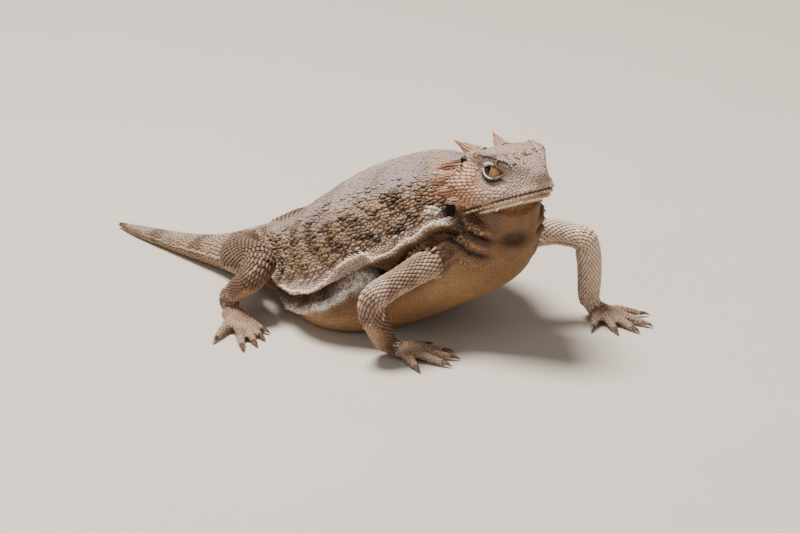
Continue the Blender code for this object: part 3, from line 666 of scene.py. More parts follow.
def crease_of_lid(q):
    """1 in the crease under the lower lid and between the upper lid and the brow."""
    out = np.zeros(len(q))
    for sign in (1, -1):
        az, el, r, _ = on_eye(q.p, sign)
        round_ = np.sqrt(slit(az, el))
        near = (r < 4.8) * (1 - step(np.abs(az - 5.0), 62.0, 82.0))
        out += near * 1.3 * bump(round_, 1.55, 0.28) * (1 - step(el - 0.25 * az, -5.0, 25.0))
    return np.clip(out, 0, 1)


def brow_line(q):
    """1 in the crease under the brow, which comes down in front of the eye; it is painted dark there as painted shade.
    """
    f = np.clip(q.hf, -1.4, 4.6)
    line = 3.5 - 0.02 * (f + 1.1) - 0.085 * np.clip(f - 0.6, 0, None) ** 2
    under = np.abs(q.hr) - 6.44 + 0.47 * np.clip(q.hf - 0.5, 0, None)
    face = (q.part == HEADPART) | (q.part == LID)
    return face * step(under, -0.95, -0.6) * bump(q.hu, line - 0.15, 0.22) * step(q.hf, -1.8, -0.8) * (1 - step(q.hf, 4.2, 4.9))


def nape(q):
    """1 in the corner between the back of the head and the neck, over the horns of the temple, which is dented and
    painted near black as painted shadow.
    """
    near = (q.part == HEADPART) | ((q.part == TRUNK) & (q.s > 12.9))
    line = 1.95 + 0.40 * (q.hf + 6.5)
    return near * (np.abs(q.hr) > 3.6) * bump(q.hu, line, 0.34) * step(q.hf, -8.4, -7.6) * (1 - step(q.hf, -5.9, -5.3))


def inset(q):
    """How deep the skin lies inside the solids, in mm."""
    depth = np.full(len(q), 0.34)
    depth[(q.part == TRUNK) & (q.e > 1.35)] = 0.2
    depth[q.part == HEADPART] = 0.3
    depth[(q.part == FORE) | (q.part == HIND)] = 0.32
    depth[q.part == FOOT] = 0.2
    depth[q.part == LID] = 0.3
    return depth


LIDS = (27.0, 12.0, 56.0, 28.0, -14.0)  # opening between the lids: degrees forward and up, half width, half height, tilt

def slit(x, y, wide=1.0, high=1.0):
    """Below 1 inside the opening between the lids, or inside one this much wider and higher; x and y are degrees
    forward and up on the ball of the eye."""
    t = math.radians(LIDS[4])
    x, y = x - LIDS[0], y - LIDS[1]
    u, v = x * math.cos(t) + y * math.sin(t), -x * math.sin(t) + y * math.cos(t)
    u = u / LIDS[2] / wide
    return u**2 + (v / (high * LIDS[3] * (1 - 0.35 * np.clip(u, -1, 1) ** 2))) ** 2


def on_eye(p, sign):
    """Degrees forward and up on the ball of the eye on one side, distance from its middle and place from there."""
    rel = p - in_head(EYE_CENTRE, sign)[0]
    x, y, z = rel @ HF, rel @ HU, rel @ (HR * sign)
    return np.degrees(np.arctan2(x, z)), np.degrees(np.arctan2(y, np.hypot(x, z))), np.linalg.norm(rel, axis=1), rel


def lid_tube(sign, spread, radius, thick, start=0.0, stop=360.0, steps=160, beads=0, around=12):
    """A closed roll following the opening of the lids from start to stop degrees round it (0 in front, 90 above)."""
    c = in_head(EYE_CENTRE, sign)[0]
    t = np.radians(np.linspace(start, stop, steps, endpoint=stop - start < 360.0))
    u, v = LIDS[2] * np.cos(t), LIDS[3] * np.sin(t) * (1 - 0.3 * np.cos(t) ** 2)
    grow = 1 + (spread - 1) * np.stack([np.full_like(t, 0.42), np.ones_like(t)])
    u, v = u * grow[0], v * grow[1]
    k = math.radians(LIDS[4])
    az = np.radians(LIDS[0] + u * math.cos(k) - v * math.sin(k))
    el = np.radians(LIDS[1] + u * math.sin(k) + v * math.cos(k))
    g = (np.sin(az) * np.cos(el))[:, None] * HF + (np.cos(az) * np.cos(el))[:, None] * HR * sign + np.sin(el)[:, None] * HU
    mid = c + g * radius
    closed = stop - start >= 360.0
    tangent = unit(np.roll(mid, -1, 0) - np.roll(mid, 1, 0)) if closed else unit(np.gradient(mid, axis=0))
    across = unit(np.cross(tangent, g))
    taper = np.ones_like(t) if closed else np.clip(np.sin(np.linspace(0, math.pi, steps)) * 2.2, 0.12, 1)
    swell = 1 + (0.20 * np.sin(t * beads) if beads else 0)
    a = np.linspace(0, 2 * math.pi, around, endpoint=False)
    ring = (np.cos(a)[None, :, None] * across[:, None] + np.sin(a)[None, :, None] * g[:, None]) * (thick * taper * swell)[:, None, None]
    rings = mid[:, None] + ring
    m = steps
    i, j = np.meshgrid(np.arange(m if closed else m - 1), np.arange(around), indexing="ij")
    i2, j2 = (i + 1) % m, (j + 1) % around
    faces = np.stack([i * around + j, i * around + j2, i2 * around + j2, i2 * around + j], -1).reshape(-1, 4).tolist()
    u, v = np.stack([i, i, i + 1, i + 1], -1) / m, np.stack([j, j + 1, j + 1, j], -1) / around
    places = np.stack([u, v], -1).reshape(-1, 2)
    if not closed:
        faces += [list(range(around))[::-1], [(m - 1) * around + x for x in range(around)]]
        places = np.vstack([places, np.tile((0.0, 0.5), (around, 1)), np.tile(((m - 1) / m, 0.5), (around, 1))])
    return rings.reshape(-1, 3), faces, places


def lids(sign, material_):
    """Rims of both lids and the rolls of skin above and below them."""
    verts, flat, counts, colours, places, base = [], [], [], [], [], 0
    for spread, radius, thick, start, stop, beads, rgb in (
        (1.02, EYE_RADIUS + 0.10, 0.16, 0.0, 360.0, 44, (84, 64, 52)),
        (1.14, EYE_RADIUS + 0.20, 0.18, 178.0, 292.0, 22, (222, 212, 202)),
        (1.14, EYE_RADIUS + 0.18, 0.18, 288.0, 366.0, 14, (170, 142, 114)),
        (1.28, EYE_RADIUS + 0.34, 0.36, 72.0, 164.0, 18, (222, 214, 206)),
        (1.28, EYE_RADIUS + 0.30, 0.26, 0.0, 84.0, 14, (150, 116, 84)),
        (1.60, EYE_RADIUS + 0.50, 0.26, 40.0, 184.0, 24, (150, 136, 130)),
        (1.95, EYE_RADIUS + 0.50, 0.22, 186.0, 322.0, 24, (164, 148, 142)),
    ):
        v, f, place = lid_tube(sign, spread, radius, thick, start, stop, beads=beads)
        places.append(np.stack([0.02 + 0.96 * place[:, 0], 0.02 + 0.137 * len(places) + 0.12 * place[:, 1]], -1))
        verts.append(v)
        flat += [i + base for face in f for i in face]
        counts += [len(face) for face in f]
        c = linear(*rgb) * (1 + 0.28 * noise(v, 0.35, 50))[:, None] * (1 + 0.14 * noise(v, 1.2, 51))[:, None]
        colours.append(c)
        base += len(v)
    obj = mesh_object("lids_" + ("right" if sign > 0 else "left"), np.vstack(verts), flat, counts)
    paint(obj, np.vstack(colours))
    layer = obj.data.uv_layers.new(name="OFBake")
    layer.data.foreach_set("uv", np.vstack(places).astype(np.float32).ravel())
    obj.data.materials.append(material_)
    return obj


def make_skin():
    verts, faces, base = [], [], 0
    for rings in flesh_rings(3):
        v, f = mesh_of(rings)
        verts.append(v)
        faces += [tuple(i + base for i in face) for face in f]
        base += len(v)
    mesh = bpy.data.meshes.new("skin")
    mesh.from_pydata(to_model(np.vstack(verts)).tolist(), [], faces)
    mesh.update()
    bm = bmesh.new()
    bm.from_mesh(mesh)
    bmesh.ops.recalc_face_normals(bm, faces=bm.faces)
    bm.to_mesh(mesh)
    bm.free()
    skin = bpy.data.objects.new("skin", mesh)
    bpy.context.scene.collection.objects.link(skin)
    remesh = skin.modifiers.new("fuse", "REMESH")
    remesh.mode = "VOXEL"
    remesh.voxel_size = GRAIN * MM
    soften = skin.modifiers.new("soften", "SMOOTH")
    soften.factor, soften.iterations = 0.5, 5
    graph = bpy.context.evaluated_depsgraph_get()
    whole = bpy.data.meshes.new_from_object(skin.evaluated_get(graph))
    skin.modifiers.clear()
    skin.data = whole

    # the head twice as fine
    p, no = vertex_arrays(skin)
    hf, hr, hu = head_coords(p)
    fine = (hf > -6.5) & (np.abs(hr) < 9.5) & (hu > -7.2) & (hu < 5) & (hf < 11)
    bm = bmesh.new()
    bm.from_mesh(skin.data)
    bm.verts.ensure_lookup_table()
    edges = [e for e in bm.edges if fine[e.verts[0].index] and fine[e.verts[1].index]]
    bmesh.ops.subdivide_edges(bm, edges=edges, cuts=1, use_grid_fill=True)
    bm.to_mesh(skin.data)
    bm.free()
    skin.data.update()

    p, no = vertex_arrays(skin)
    q = Spots(p, no, CHART.nearest(p))
    p = p + no * (sculpt(q) - inset(q))[:, None]
    # around the opening between the lids the skin comes down to the ball, and inside it dips under it
    for sign in (1, -1):
        c = in_head(EYE_CENTRE, sign)[0]
        az, el, r, rel = on_eye(p, sign)
        o = slit(az, el)
        near = (r < 4.6) & (np.abs(az) < 100)
        to = np.where(o < 1.0, EYE_RADIUS - 0.4, EYE_RADIUS + 0.16 + (r - EYE_RADIUS - 0.16) * step(o, 1.0, 2.4))
        to = to + (r - to) * step(np.abs(az), 82.0, 98.0)
        move = near & (o < 2.4)
        p[move] = c + rel[move] / r[move, None] * to[move, None]
    p[:, 2] = np.maximum(p[:, 2], 0.12)
    set_vertices(skin, p)
    skin.data.shade_smooth()
    return skin


# ----------------------------------------------------------------------------- markings and painted shade
GREY = linear(178, 160, 152)
LAVENDER = linear(170, 152, 150)
OCHRE = linear(196, 160, 112)
BROWN = linear(92, 64, 44)
BLACKISH = linear(42, 28, 20)
CREAM = linear(226, 206, 188)
PINK = linear(196, 158, 136)
RUST = linear(168, 92, 58)
TAN = linear(196, 160, 116)
WHITE = linear(232, 224, 214)
OLIVE = linear(128, 108, 78)


def mix(a, b, t):
    t = np.clip(np.asarray(t, float), 0, 1)[..., None]
    return a * (1 - t) + b * t


def markings_and_shade(q):
    """Colour of the hide at each spot, with painted shade and light in places, and how dark the markings are there."""
    n1 = 0.6 * noise(q.p, 6.0, 20) + 0.5 * noise(q.p[:, (1, 2, 0)], 3.7, 70)
    n2, n3 = noise(q.p, 2.2, 21), noise(q.p, 0.7, 22)
    n = len(q)

    def flat(*rgb):
        return np.broadcast_to(linear(*rgb), (n, 3))

    t = q.part == TRUNK
    e, s, ye = q.e, q.s, q.ye
    # noise drawn out along the body
    along = np.stack([s * 11.0 + e * 5.0, e * 58.0, q.right * 40.0], -1)
    dash, grit = noise(along, 1.9, 60), noise(along, 0.95, 61)
    # back: warm grey, a little lilac and ochre above, brown lower down
    c = mix(flat(166, 146, 137), linear(156, 140, 141), 0.5 + 0.9 * n1)
    c = mix(c, linear(188, 158, 122), 0.45 * step(noise(q.p, 4.6, 23) + 0.35 * n2, 0.30, 0.70))
    c = c * (1 + 0.07 * dash[:, None])
    low = step(e, 0.38, 0.60) * (1 - step(e, 0.88, 0.95))
    c = mix(c, mix(flat(134, 106, 80), linear(164, 136, 106), 0.5 + 0.8 * grit), t * low * (0.80 + 0.4 * n2))
    c = mix(c, linear(194, 166, 148), t * step(ye, 2.8, 1.4) * step(s, 5.6, 7.0) * 0.6)
    c = mix(c, linear(112, 84, 64), t * step(s, 8.2, 9.0) * bump(ye, 1.2, 0.35) * step(s, 5.8, 6.6) * (1 - step(s, 10.8, 11.4)) * (0.5 + 0.5 * dash))
    # oblique rows of broken dark dashes above the fringe, fainter ones across the back
    phase = s - 2.2 * (e - 0.6)
    bars = np.zeros(n)
    for at, width, inner, strength in ((6.3, 0.26, 0.25, 0.8), (7.35, 0.26, 0.40, 0.9), (8.2, 0.24, 0.42, 0.9), (8.75, 0.24, 0.52, 1.0), (9.3, 0.24, 0.55, 1.0), (9.95, 0.2, 0.55, 0.8), (10.55, 0.26, 0.48, 1.0), (11.15, 0.22, 0.5, 0.9), (11.8, 0.24, 0.5, 0.9)):
        bars = np.maximum(bars, strength * bump(phase + 0.12 * n2, at, width) * step(e, inner - 0.08, inner + 0.1))
    bars *= 1 - step(e, 0.87, 0.94)
    c = mix(c, linear(104, 76, 54), t * bars * 0.62)
    broken = step(0.75 * dash + 0.45 * grit + 1.0 * bars, 0.62, 0.86) * np.maximum(low, step(bars, 0.2, 0.5))
    broken = np.maximum(broken, 0.85 * low * step(dash + 0.5 * grit, 0.46, 0.62))
    broken = broken * (1 - 0.85 * (1 - step(s, 8.4, 9.1)) * step(e, 0.68, 0.80)) * (0.45 + 0.55 * step(s, 6.0, 7.4))
    faint = np.zeros(n)
    for at in (6.6, 7.9, 9.3, 10.8):
        faint = np.maximum(faint, bump(s - 1.1 * e + 0.15 * n2, at, 0.24) * step(e, 0.06, 0.18) * (1 - step(e, 0.42, 0.6)))
    c = mix(c, linear(132, 112, 98), t * faint * (0.6 + 0.7 * dash))
    c = mix(c, linear(150, 128, 112), t * (e < 0.6) * 0.55 * step(dash + 0.6 * grit, 0.45, 0.8))
    rear = t * step(0.6 * noise(q.p, 3.2, 24) + 0.6 * noise(q.p[:, (1, 2, 0)], 1.9, 71), -0.25, 0.4) * (1 - step(s, 7.4, 8.8)) * (e < 1)
    c = mix(c, linear(128, 104, 84), 0.75 * rear)
    c = np.where(t[:, None], mix(c, mix(flat(78, 54, 38), BLACKISH, 0.5 + 0.8 * n3), broken * (0.58 + 0.42 * step(n3, 0.0, 0.3))), c)
    dark = t * broken
    # neck: olive scales in front of the dark pit
    c = mix(c, mix(flat(128, 102, 70), linear(96, 72, 48), 0.5 + 0.7 * grit), t * 0.85 * bump(s, 11.75, 0.6) * bump(e, 0.66, 0.2))
    # fringe, the groove under it painted dark as shade, the sugary fold, and the plain belly
    edge = t * bump(ye, 0.25, 0.34) * step(s, 5.0, 6.2) * (1 - step(s, 12.2, 12.4))
    under = t * bump(ye, groove_height(s), 0.50 + 0.20 * step(s, 8.4, 9.2)) * step(s, 6.3, 7.3) * (1 - step(s, 12.2, 12.6)) * (e > 0.95)
    flank = t * step(e, 1.0, 1.04)
    c = mix(c, mix(flat(130, 98, 66), linear(108, 78, 50), 0.5 + 0.8 * dash), flank)
    shoulder = t * step(s, 9.7, 10.3) * (1 - step(s, 12.9, 13.4)) * step(-ye, 0.9, 1.6) * (1 - step(e, 1.30, 1.48))
    c = mix(c, mix(flat(124, 92, 66), linear(88, 62, 42), 0.5 + 0.9 * n3), 0.9 * shoulder)
    # painted shade deep in the groove under the fringe
    c = mix(c, mix(flat(52, 36, 26), linear(24, 16, 11), 0.5 + 0.7 * n2), 1.15 * under)
    # the belly warm brown, darker than its own pale cream as painted shade, and darker still at the chest
    belly = t * step(e, 1.26, 1.48)
    c = mix(c, mix(flat(148, 110, 72), linear(164, 128, 90), 0.5 + 0.6 * n1 + 0.3 * dash), belly)
    c = mix(c, linear(122, 88, 56), 0.8 * belly * step(s, 10.4, 12.0))
    cream = t * (e > 1.0) * step(sugar_height(s) - ye, 0.4, 1.1) * (1 - step(s, 7.5, 8.8))
    c = mix(c, linear(196, 158, 118), 0.72 * cream)
    sugar = t * bump(ye, sugar_height(s) - 0.15, 0.82) * step(s, 6.0, 7.0) * (1 - step(s, 9.35, 9.75)) * (e > 1.0)
    c = mix(c, mix(flat(176, 148, 130), linear(246, 240, 232), 0.6 + 0.9 * n3), 1.3 * sugar)
    c = mix(c, mix(flat(206, 176, 156), linear(246, 220, 196), 0.6 + 0.6 * n3), 1.2 * edge)
    neck = t * step(s, 11.8, 12.3) * step(e, 0.98, 1.1) * (1 - step(e, 1.5, 1.8))
    c = mix(c, mix(flat(86, 60, 40), linear(118, 86, 58), 0.5 + 0.7 * n2), 0.9 * neck)
    # painted shade in the creases of the neck folds and painted highlight on their crests
    crease = folds(q)
    c = mix(c, linear(50, 33, 22), np.clip(-crease * 1.0 - 0.2, 0, 1) * 0.9)
    c = mix(c, linear(168, 134, 102), np.clip(crease - 0.6, 0, 1) * 1.2)
    # the throat darkened brown as painted shade
    throat = t * (s > 12.2) * step(e, 1.5, 1.75)
    c = mix(c, mix(flat(114, 80, 50), linear(132, 98, 66), 0.5 + 0.7 * n2), 0.95 * throat)
    # painted shade in the hollow under the throat
    c = mix(c, linear(66, 41, 26), 0.95 * np.clip(1.5 * gular(q), 0, 1))
    white = t * np.exp(-(((s - 11.8) / 0.36) ** 2) - ((ye - 0.3) / 0.55) ** 2)
    c = mix(c, linear(238, 224, 210), 1.2 * white)
    c = mix(c, linear(236, 224, 212), 1.1 * crestlet(q))
    c = mix(c, linear(26, 17, 12), 2.4 * pit(q) * (1 - white))
    # tail: bands
    tail = t * (s < 5.0) * (e < 1.2)
    c = mix(c, linear(166, 142, 120), t * (s < 5.2) * 0.5)
    c = mix(c, linear(92, 68, 50), tail * 0.7 * step(np.sin(s * 4.6 + 0.6 * n2), 0.35, 0.75))
    # head: pinkish grey with specks on top, warm keeled temple, pale lips
    h = (q.part == HEADPART) | (q.part == LID)
    top = h * step(q.hu, 0.6, 2.0)
    eye = np.minimum(on_eye(q.p, 1)[2], on_eye(q.p, -1)[2])
    line = mouth_height(q.hf)
    ch = mix(flat(182, 152, 130), linear(174, 156, 144), 0.5 + 0.7 * n1)
    back = step(-q.hf, -3.4, 0.6)
    ch = mix(ch, mix(flat(178, 138, 110), linear(196, 158, 130), 0.5 + 0.6 * n2), back * step(-q.hu, -2.7, -1.0) * 0.95)
    ch = mix(ch, linear(140, 84, 56), 0.55 * back * step(noise(q.p, 1.1, 33) + 0.3 * n2, 0.05, 0.55) * step(-q.hu, -2.4, -0.8))
    ch = mix(ch, linear(172, 112, 76), 0.4 * step(-q.hf, 4.2, 7.0) * step(-q.hu, -2.2, 0.0))
    ch = mix(ch, linear(160, 150, 148), 0.7 * (1 - step(eye, 3.3, 4.2)) * (0.8 + 0.3 * n3))
    ch = mix(ch, linear(196, 170, 148), 0.7 * (1 - step(q.hu, line + 0.7, line + 1.7)) * step(q.hf, 4.5, 7.0))
    ch = mix(ch, linear(186, 152, 122), 0.8 * (1 - step(q.hu, line - 0.5, line - 0.1)))
    # darker brown under the jaw, partly painted shade
    ch = mix(ch, linear(140, 104, 72), 0.9 * (1 - step(q.hu, line - 0.9, line - 0.5)))
    specks = step(noise(q.p, 0.55, 26) + 0.1 * n2, 0.26, 0.40) * (0.3 + 0.7 * top)
    ch = mix(ch, linear(66, 50, 42), 0.95 * specks * step(q.hu, -1.8, 0.0) * (0.2 + 0.8 * step(q.hf, 0.5, 3.0)))
    # painted shade in the creases round the lids
    ch = mix(ch, linear(30, 20, 16), 1.1 * crease_of_lid(q))
    # painted shade under the brow
    ch = mix(ch, linear(48, 34, 28), 0.95 * brow_line(q))
    d = np.sqrt((q.hf - NOSTRIL[0]) ** 2 + (np.abs(q.hr) - NOSTRIL[1]) ** 2 + (q.hu - NOSTRIL[2]) ** 2)
    ch = mix(ch, linear(178, 164, 156), 0.6 * bump(d, 0.72, 0.25))
    ch = mix(ch, BLACKISH, 1.0 * bump(d, 0, 0.36))
    c = np.where(h[:, None], ch, c)
    # painted shadow in the corner between the head and the neck
    c = mix(c, linear(28, 19, 14), 1.1 * nape(q))
    lips = (h | t & (s > 12.7) & (q.hu > -7.6)) * step(q.hf, -5.8, -4.8)
    c = mix(c, linear(222, 190, 158), 0.9 * lips * bump(q.hu, line - 0.32, 0.24))
    c = mix(c, linear(240, 218, 194), 0.95 * lips * bump(q.hu, line - 1.05, 0.24) * step(q.hf, -2.6, -1.2) * (1 - step(q.hf, 5.4, 7.4)))
    c = mix(c, linear(46, 31, 24), 0.95 * lips * bump(q.hu, line + 0.05, 0.16))
    # legs and feet: pinkish grey above, browner below the elbow and knee, whitish dots. The brown of the hind legs and
    # of the right forearm is partly painted shade, and the pale left foreleg is painted light.
    limb = (q.part == FORE) | (q.part == HIND) | (q.part == FOOT)
    cl = mix(flat(180, 150, 130), linear(190, 166, 148), 0.5 + 0.8 * n1)
    cl = mix(cl, linear(128, 96, 72), 0.65 * step(noise(q.p, 3.0, 28) + 0.2 * n2, 0.1, 0.5))
    cl = mix(cl, linear(98, 72, 52), 0.8 * (q.part == HIND))
    cl = mix(cl, linear(90, 62, 42), 0.88 * ((q.part == FORE) & q.right) * step(q.s, 3.3, 3.9))
    cl = mix(cl, linear(228, 202, 180), 0.8 * ((q.part == FORE) & ~q.right))
    cl = mix(cl, linear(146, 116, 92), 0.5 * (q.part == FOOT))
    cl = mix(cl, linear(206, 182, 160), 0.65 * step(noise(q.p, 0.7, 34), 0.46, 0.58) * (q.s > 2.5))
    cl = mix(cl, linear(180, 146, 110), 0.75 * step(-q.normal[:, 2], 0.25, 0.7))
    # the root of the arm is part of the wrinkled brown shoulder
    root = (q.part == FORE) * (1 - step(q.s + 0.25 * n2, 0.9, 1.35))
    cl = mix(cl, mix(flat(124, 92, 66), linear(88, 62, 42), 0.5 + 0.9 * n3), root * 0.95)
    c = np.where(limb[:, None], cl, c)
    dark = np.where(limb, 0.0, dark)
    return np.clip(c, 0, 1), np.clip(dark, 0, 1)


# ----------------------------------------------------------------------------- scales
GRANULE, KEELED, PLATE, SPINE_SCALE = range(4)


def surface_of(obj):
    """Search tree over the skin, in the layout."""
    mesh = obj.data
    mesh.calc_loop_triangles()
    p, _ = vertex_arrays(obj)
    tri = np.empty(len(mesh.loop_triangles) * 3, np.int32)
    mesh.loop_triangles.foreach_get("vertices", tri)
    tri = tri.reshape(-1, 3)
    return p, tri, BVHTree.FromPolygons(p.tolist(), tri.tolist(), all_triangles=True)


class Surface:
    def __init__(self, obj):
        self.p, self.tri, self.tree = surface_of(obj)
        a, b, c = (self.p[self.tri[:, i]] for i in range(3))
        cross = np.cross(b - a, c - a)
        self.area = np.linalg.norm(cross, axis=1) / 2
        self.face_normal = cross / np.maximum(self.area[:, None] * 2, 1e-12)
        vertex = np.zeros_like(self.p)
        for i in range(3):
            np.add.at(vertex, self.tri[:, i], cross)
        self.vertex_normal = unit(vertex)

    def normals(self, face, points):
        a, b, c = (self.p[self.tri[face, i]] for i in range(3))
        v0, v1, v2 = b - a, c - a, points - a
        d00, d01, d11 = (v0 * v0).sum(-1), (v0 * v1).sum(-1), (v1 * v1).sum(-1)
        d20, d21 = (v2 * v0).sum(-1), (v2 * v1).sum(-1)
        den = np.maximum(d00 * d11 - d01 * d01, 1e-12)
        v, w = (d11 * d20 - d01 * d21) / den, (d00 * d21 - d01 * d20) / den
        u = 1 - v - w
        n = sum(x[:, None] * self.vertex_normal[self.tri[face, i]] for i, x in enumerate((u, v, w)))
        return unit(n)

    def drop(self, points):
        """Points moved onto the skin, with the normals there, and how far each was moved."""
        found = [self.tree.find_nearest(q) for q in np.asarray(points).tolist()]
        q = np.array([f[0][:] for f in found])
        face = np.array([f[2] for f in found])
        return q, self.normals(face, q), np.array([f[3] for f in found])

    def scatter(self, weight, count):
        chance = self.area * weight
        face = RNG.choice(len(self.tri), count, p=chance / chance.sum())
        u, v = RNG.random(count), RNG.random(count)
        flip = u + v > 1
        u[flip], v[flip] = 1 - u[flip], 1 - v[flip]
        a, b, c = (self.p[self.tri[face, i]] for i in range(3))
        q = a + u[:, None] * (b - a) + v[:, None] * (c - a)
        return q, self.normals(face, q)


def spots_at(surface, points):
    p, n, _ = surface.drop(points)
    return Spots(p, n, CHART.nearest(p))


def spacing(q):
    """Distance between neighbouring scales, in mm."""
    size = np.full(len(q), 0.5)
    t = q.part == TRUNK
    body = t & (q.s > 5.0)
    size = np.where(body & (q.e < 0.95), 0.46 + 0.07 * bump(q.e, 0.7, 0.2), size)
    size = np.where(body & (q.e >= 0.95) & (q.e < 1.26), 0.36, size)
    size = np.where(body & (q.e >= 1.26), 0.44, size)
    size = np.where(t & (q.s > 12.0) & (q.e > 0.7), 0.40, size)
    size = np.where(t & (q.s <= 5.0), 0.38 + 0.06 * q.s, size)
    h = q.part == HEADPART
    head = 0.46 + 0.06 * step(-q.hf, -2.0, 4.0) * step(-q.hu, -3.0, 0.0)
    head = np.where(q.hu < mouth_height(q.hf), 0.42, head)
    eye = np.hypot(q.hf - EYE_CENTRE[0], q.hu - EYE_CENTRE[2])
    head = np.where((eye < 3.6) & (np.abs(q.hr) > 3), 0.32, head)
    head = np.where(q.hf > 6.8, 0.36, head)
    size = np.where(h, head, size)
    size = np.where(q.part == LID, 0.30, size)
    size = np.where((q.part == FORE) | (q.part == HIND), 0.52, size)
    size = np.where((q.part == FORE) & (q.s < 1.3), 0.40, size)
    size = np.where(q.part == FOOT, 0.40, size)
    return size


def kind_of(q):
    kind = np.full(len(q), GRANULE)
    t = q.part == TRUNK
    kind[t & (q.s > 5) & (q.e > 1.26)] = PLATE
    kind[t & (q.s <= 5)] = KEELED
    h = q.part == HEADPART
    kind[h & (q.hf < -0.8) & (q.hu < 2.4) & (q.hu > mouth_height(q.hf) + 0.4)] = KEELED
    kind[h & (q.hu < mouth_height(q.hf) - 0.4)] = PLATE
    limb = (q.part == FORE) | (q.part == HIND)
    kind[limb] = KEELED
    kind[limb & (q.normal[:, 2] < -0.35)] = PLATE
    kind[(q.part == FORE) & (q.s < 1.2)] = GRANULE
    kind[(q.part == FOOT) & (q.normal[:, 2] < -0.2)] = PLATE
    return kind


class Seeds:
    """Roots of scales: point, normal, lie, reach, kind, height and colour of each."""

    def __init__(self):
        self.parts = []

    def add(self, q, reach, kind, height, lean=0.0, stretch=0.0, tint=None, fixed=True, lie=None):
        n = len(q)
        self.parts.append(dict(
            p=q.p, n=q.normal, lie=q.lie if lie is None else unit(lie), index=q.index,
            reach=np.broadcast_to(np.asarray(reach, float), (n,)).copy(), kind=np.broadcast_to(kind, (n,)).copy(),
            height=np.broadcast_to(np.asarray(height, float), (n,)).copy(), lean=np.broadcast_to(np.asarray(lean, float), (n,)).copy(),
            stretch=np.broadcast_to(np.asarray(stretch, float), (n,)).copy(),
            tint=np.full((n, 4), (0, 0, 0, 0.0)) if tint is None else np.broadcast_to(np.asarray(tint, float), (n, 4)).copy(),
            fixed=np.full(n, fixed),
        ))

    def close(self):
        for key in self.parts[0]:
            setattr(self, key, np.concatenate([part[key] for part in self.parts]))


def tinted(colour, amount=1.0):
    return (*colour, amount)


def trunk_points(surface, s, angle, out=0.6):
    """Points on the skin at places along (s) and around (angle in degrees, 0 the right fringe) the trunk."""
    n, k = 281, 220
    if not hasattr(trunk_points, "rings"):
        trunk_points.rings = trunk_rings(n, k)
    rings = trunk_points.rings
    want = np.radians(np.asarray(angle, float)) % (2 * math.pi)
    grid = np.linspace(0, 2 * math.pi, 2881)
    place = np.interp(want, grid - 0.16 * np.sin(2 * grid), grid)
    i = np.clip(np.asarray(s, float) / ROWS * (n - 1), 0, n - 1.001)
    j = place / (2 * math.pi) * k
    i0, j0 = i.astype(int), j.astype(int) % k
    u, v = (i - i0)[:, None], (j - np.floor(j))[:, None]
    j1 = (j0 + 1) % k
    p = (1 - u) * ((1 - v) * rings[i0, j0] + v * rings[i0, j1]) + u * ((1 - v) * rings[i0 + 1, j0] + v * rings[i0 + 1, j1])
    return spots_at(surface, p)


def head_points(surface, places, side, reach=12.0):
    """Points on the skin of the head seen from its side at these forward and up places."""
    o, f, r, u = head_frame()
    found = []
    for fo, up in places:
        start = in_head((fo, reach, up), side)[0]
        hit = surface.tree.ray_cast(Vector(start), Vector(-side * r))
        found.append(hit[0][:] if hit[0] is not None else in_head((fo, 3.0, up), side)[0])
    return spots_at(surface, np.array(found))


def apart(q, distance):
    """Those spots that keep this distance from the ones before them."""
    kept = []
    for i, point in enumerate(q.p):
        if not kept or np.linalg.norm(q.p[kept] - point, axis=1).min() > distance:
            kept.append(i)
    return q.pick(np.array(kept, int))


def limb_rows(surface, seeds):
    """Keeled scales of the limbs in slanting rows."""
    for legs, part, first, columns in ((FORELEG, FORE, 1.1, 20), (HINDLEG, HIND, 0.4, 24)):
        for rows in legs.values():
            rings = tube_rings(rows, 500, columns * 2)
            line = spline(rows, 500)
            length = np.concatenate([[0], np.cumsum(np.linalg.norm(np.diff(line[:, :3], axis=0), axis=1))])
            at, odd, points, widths = float(np.interp(first / (len(rows) - 1) * 499, np.arange(500), length)), 0, [], []
            while at < length[-1] - 0.6:
                i = int(np.searchsorted(length, at))
                width = 2 * math.pi * line[i, 3] / columns
                points.append(rings[i, odd::2])
                widths.append(np.full(columns, width))
                at += 0.78 * width
                odd = 1 - odd
            p, n, moved = surface.drop(np.vstack(points))
            q = Spots(p, n, CHART.nearest(p))
            width = np.concatenate(widths)
            keep = (q.part == part) & (moved < 0.9) & (q.p[:, 2] > 0.5)
            q, width = q.pick(keep), width[keep]
            kept = []
            for k in range(len(q)):
                if not kept or np.linalg.norm(q.p[kept] - q.p[k], axis=1).min() > 0.62 * width[k]:
                    kept.append(k)
            q, width = q.pick(np.array(kept)), width[np.array(kept)]
            under = q.normal[:, 2] < -0.35
            if part == FORE:
                i = np.linspace(0.19, 0.40, 15) * 499
                i = i.astype(int)
                ahead = unit(np.gradient(line[:, :3], axis=0))[i]
                level = unit(np.cross(ahead, (0.0, 0.0, 1.0)))
                outside = level * np.sign(level[:, 1:2] * -1) * 0.75 - np.array((0.0, 0.0, 0.65))
                ridge = spots_at(surface, line[i, :3] + unit(outside) * line[i, 3:4])
                ridge = ridge.pick(ridge.part == FORE)
                seeds.add(ridge, 0.42, KEELED, 0.20, stretch=0.6, tint=tinted(linear(216, 192, 170), 0.6))
                far = np.linalg.norm(q.p[:, None] - ridge.p[None], axis=-1).min(1) > 0.5
                q, width = q.pick(far), width[far]
                under = q.normal[:, 2] < -0.35
            seeds.add(q, 0.58 * width, np.where(under, PLATE, KEELED), np.where(under, 0.14, 0.36) * width, stretch=np.where(under, 0.15, 0.8))


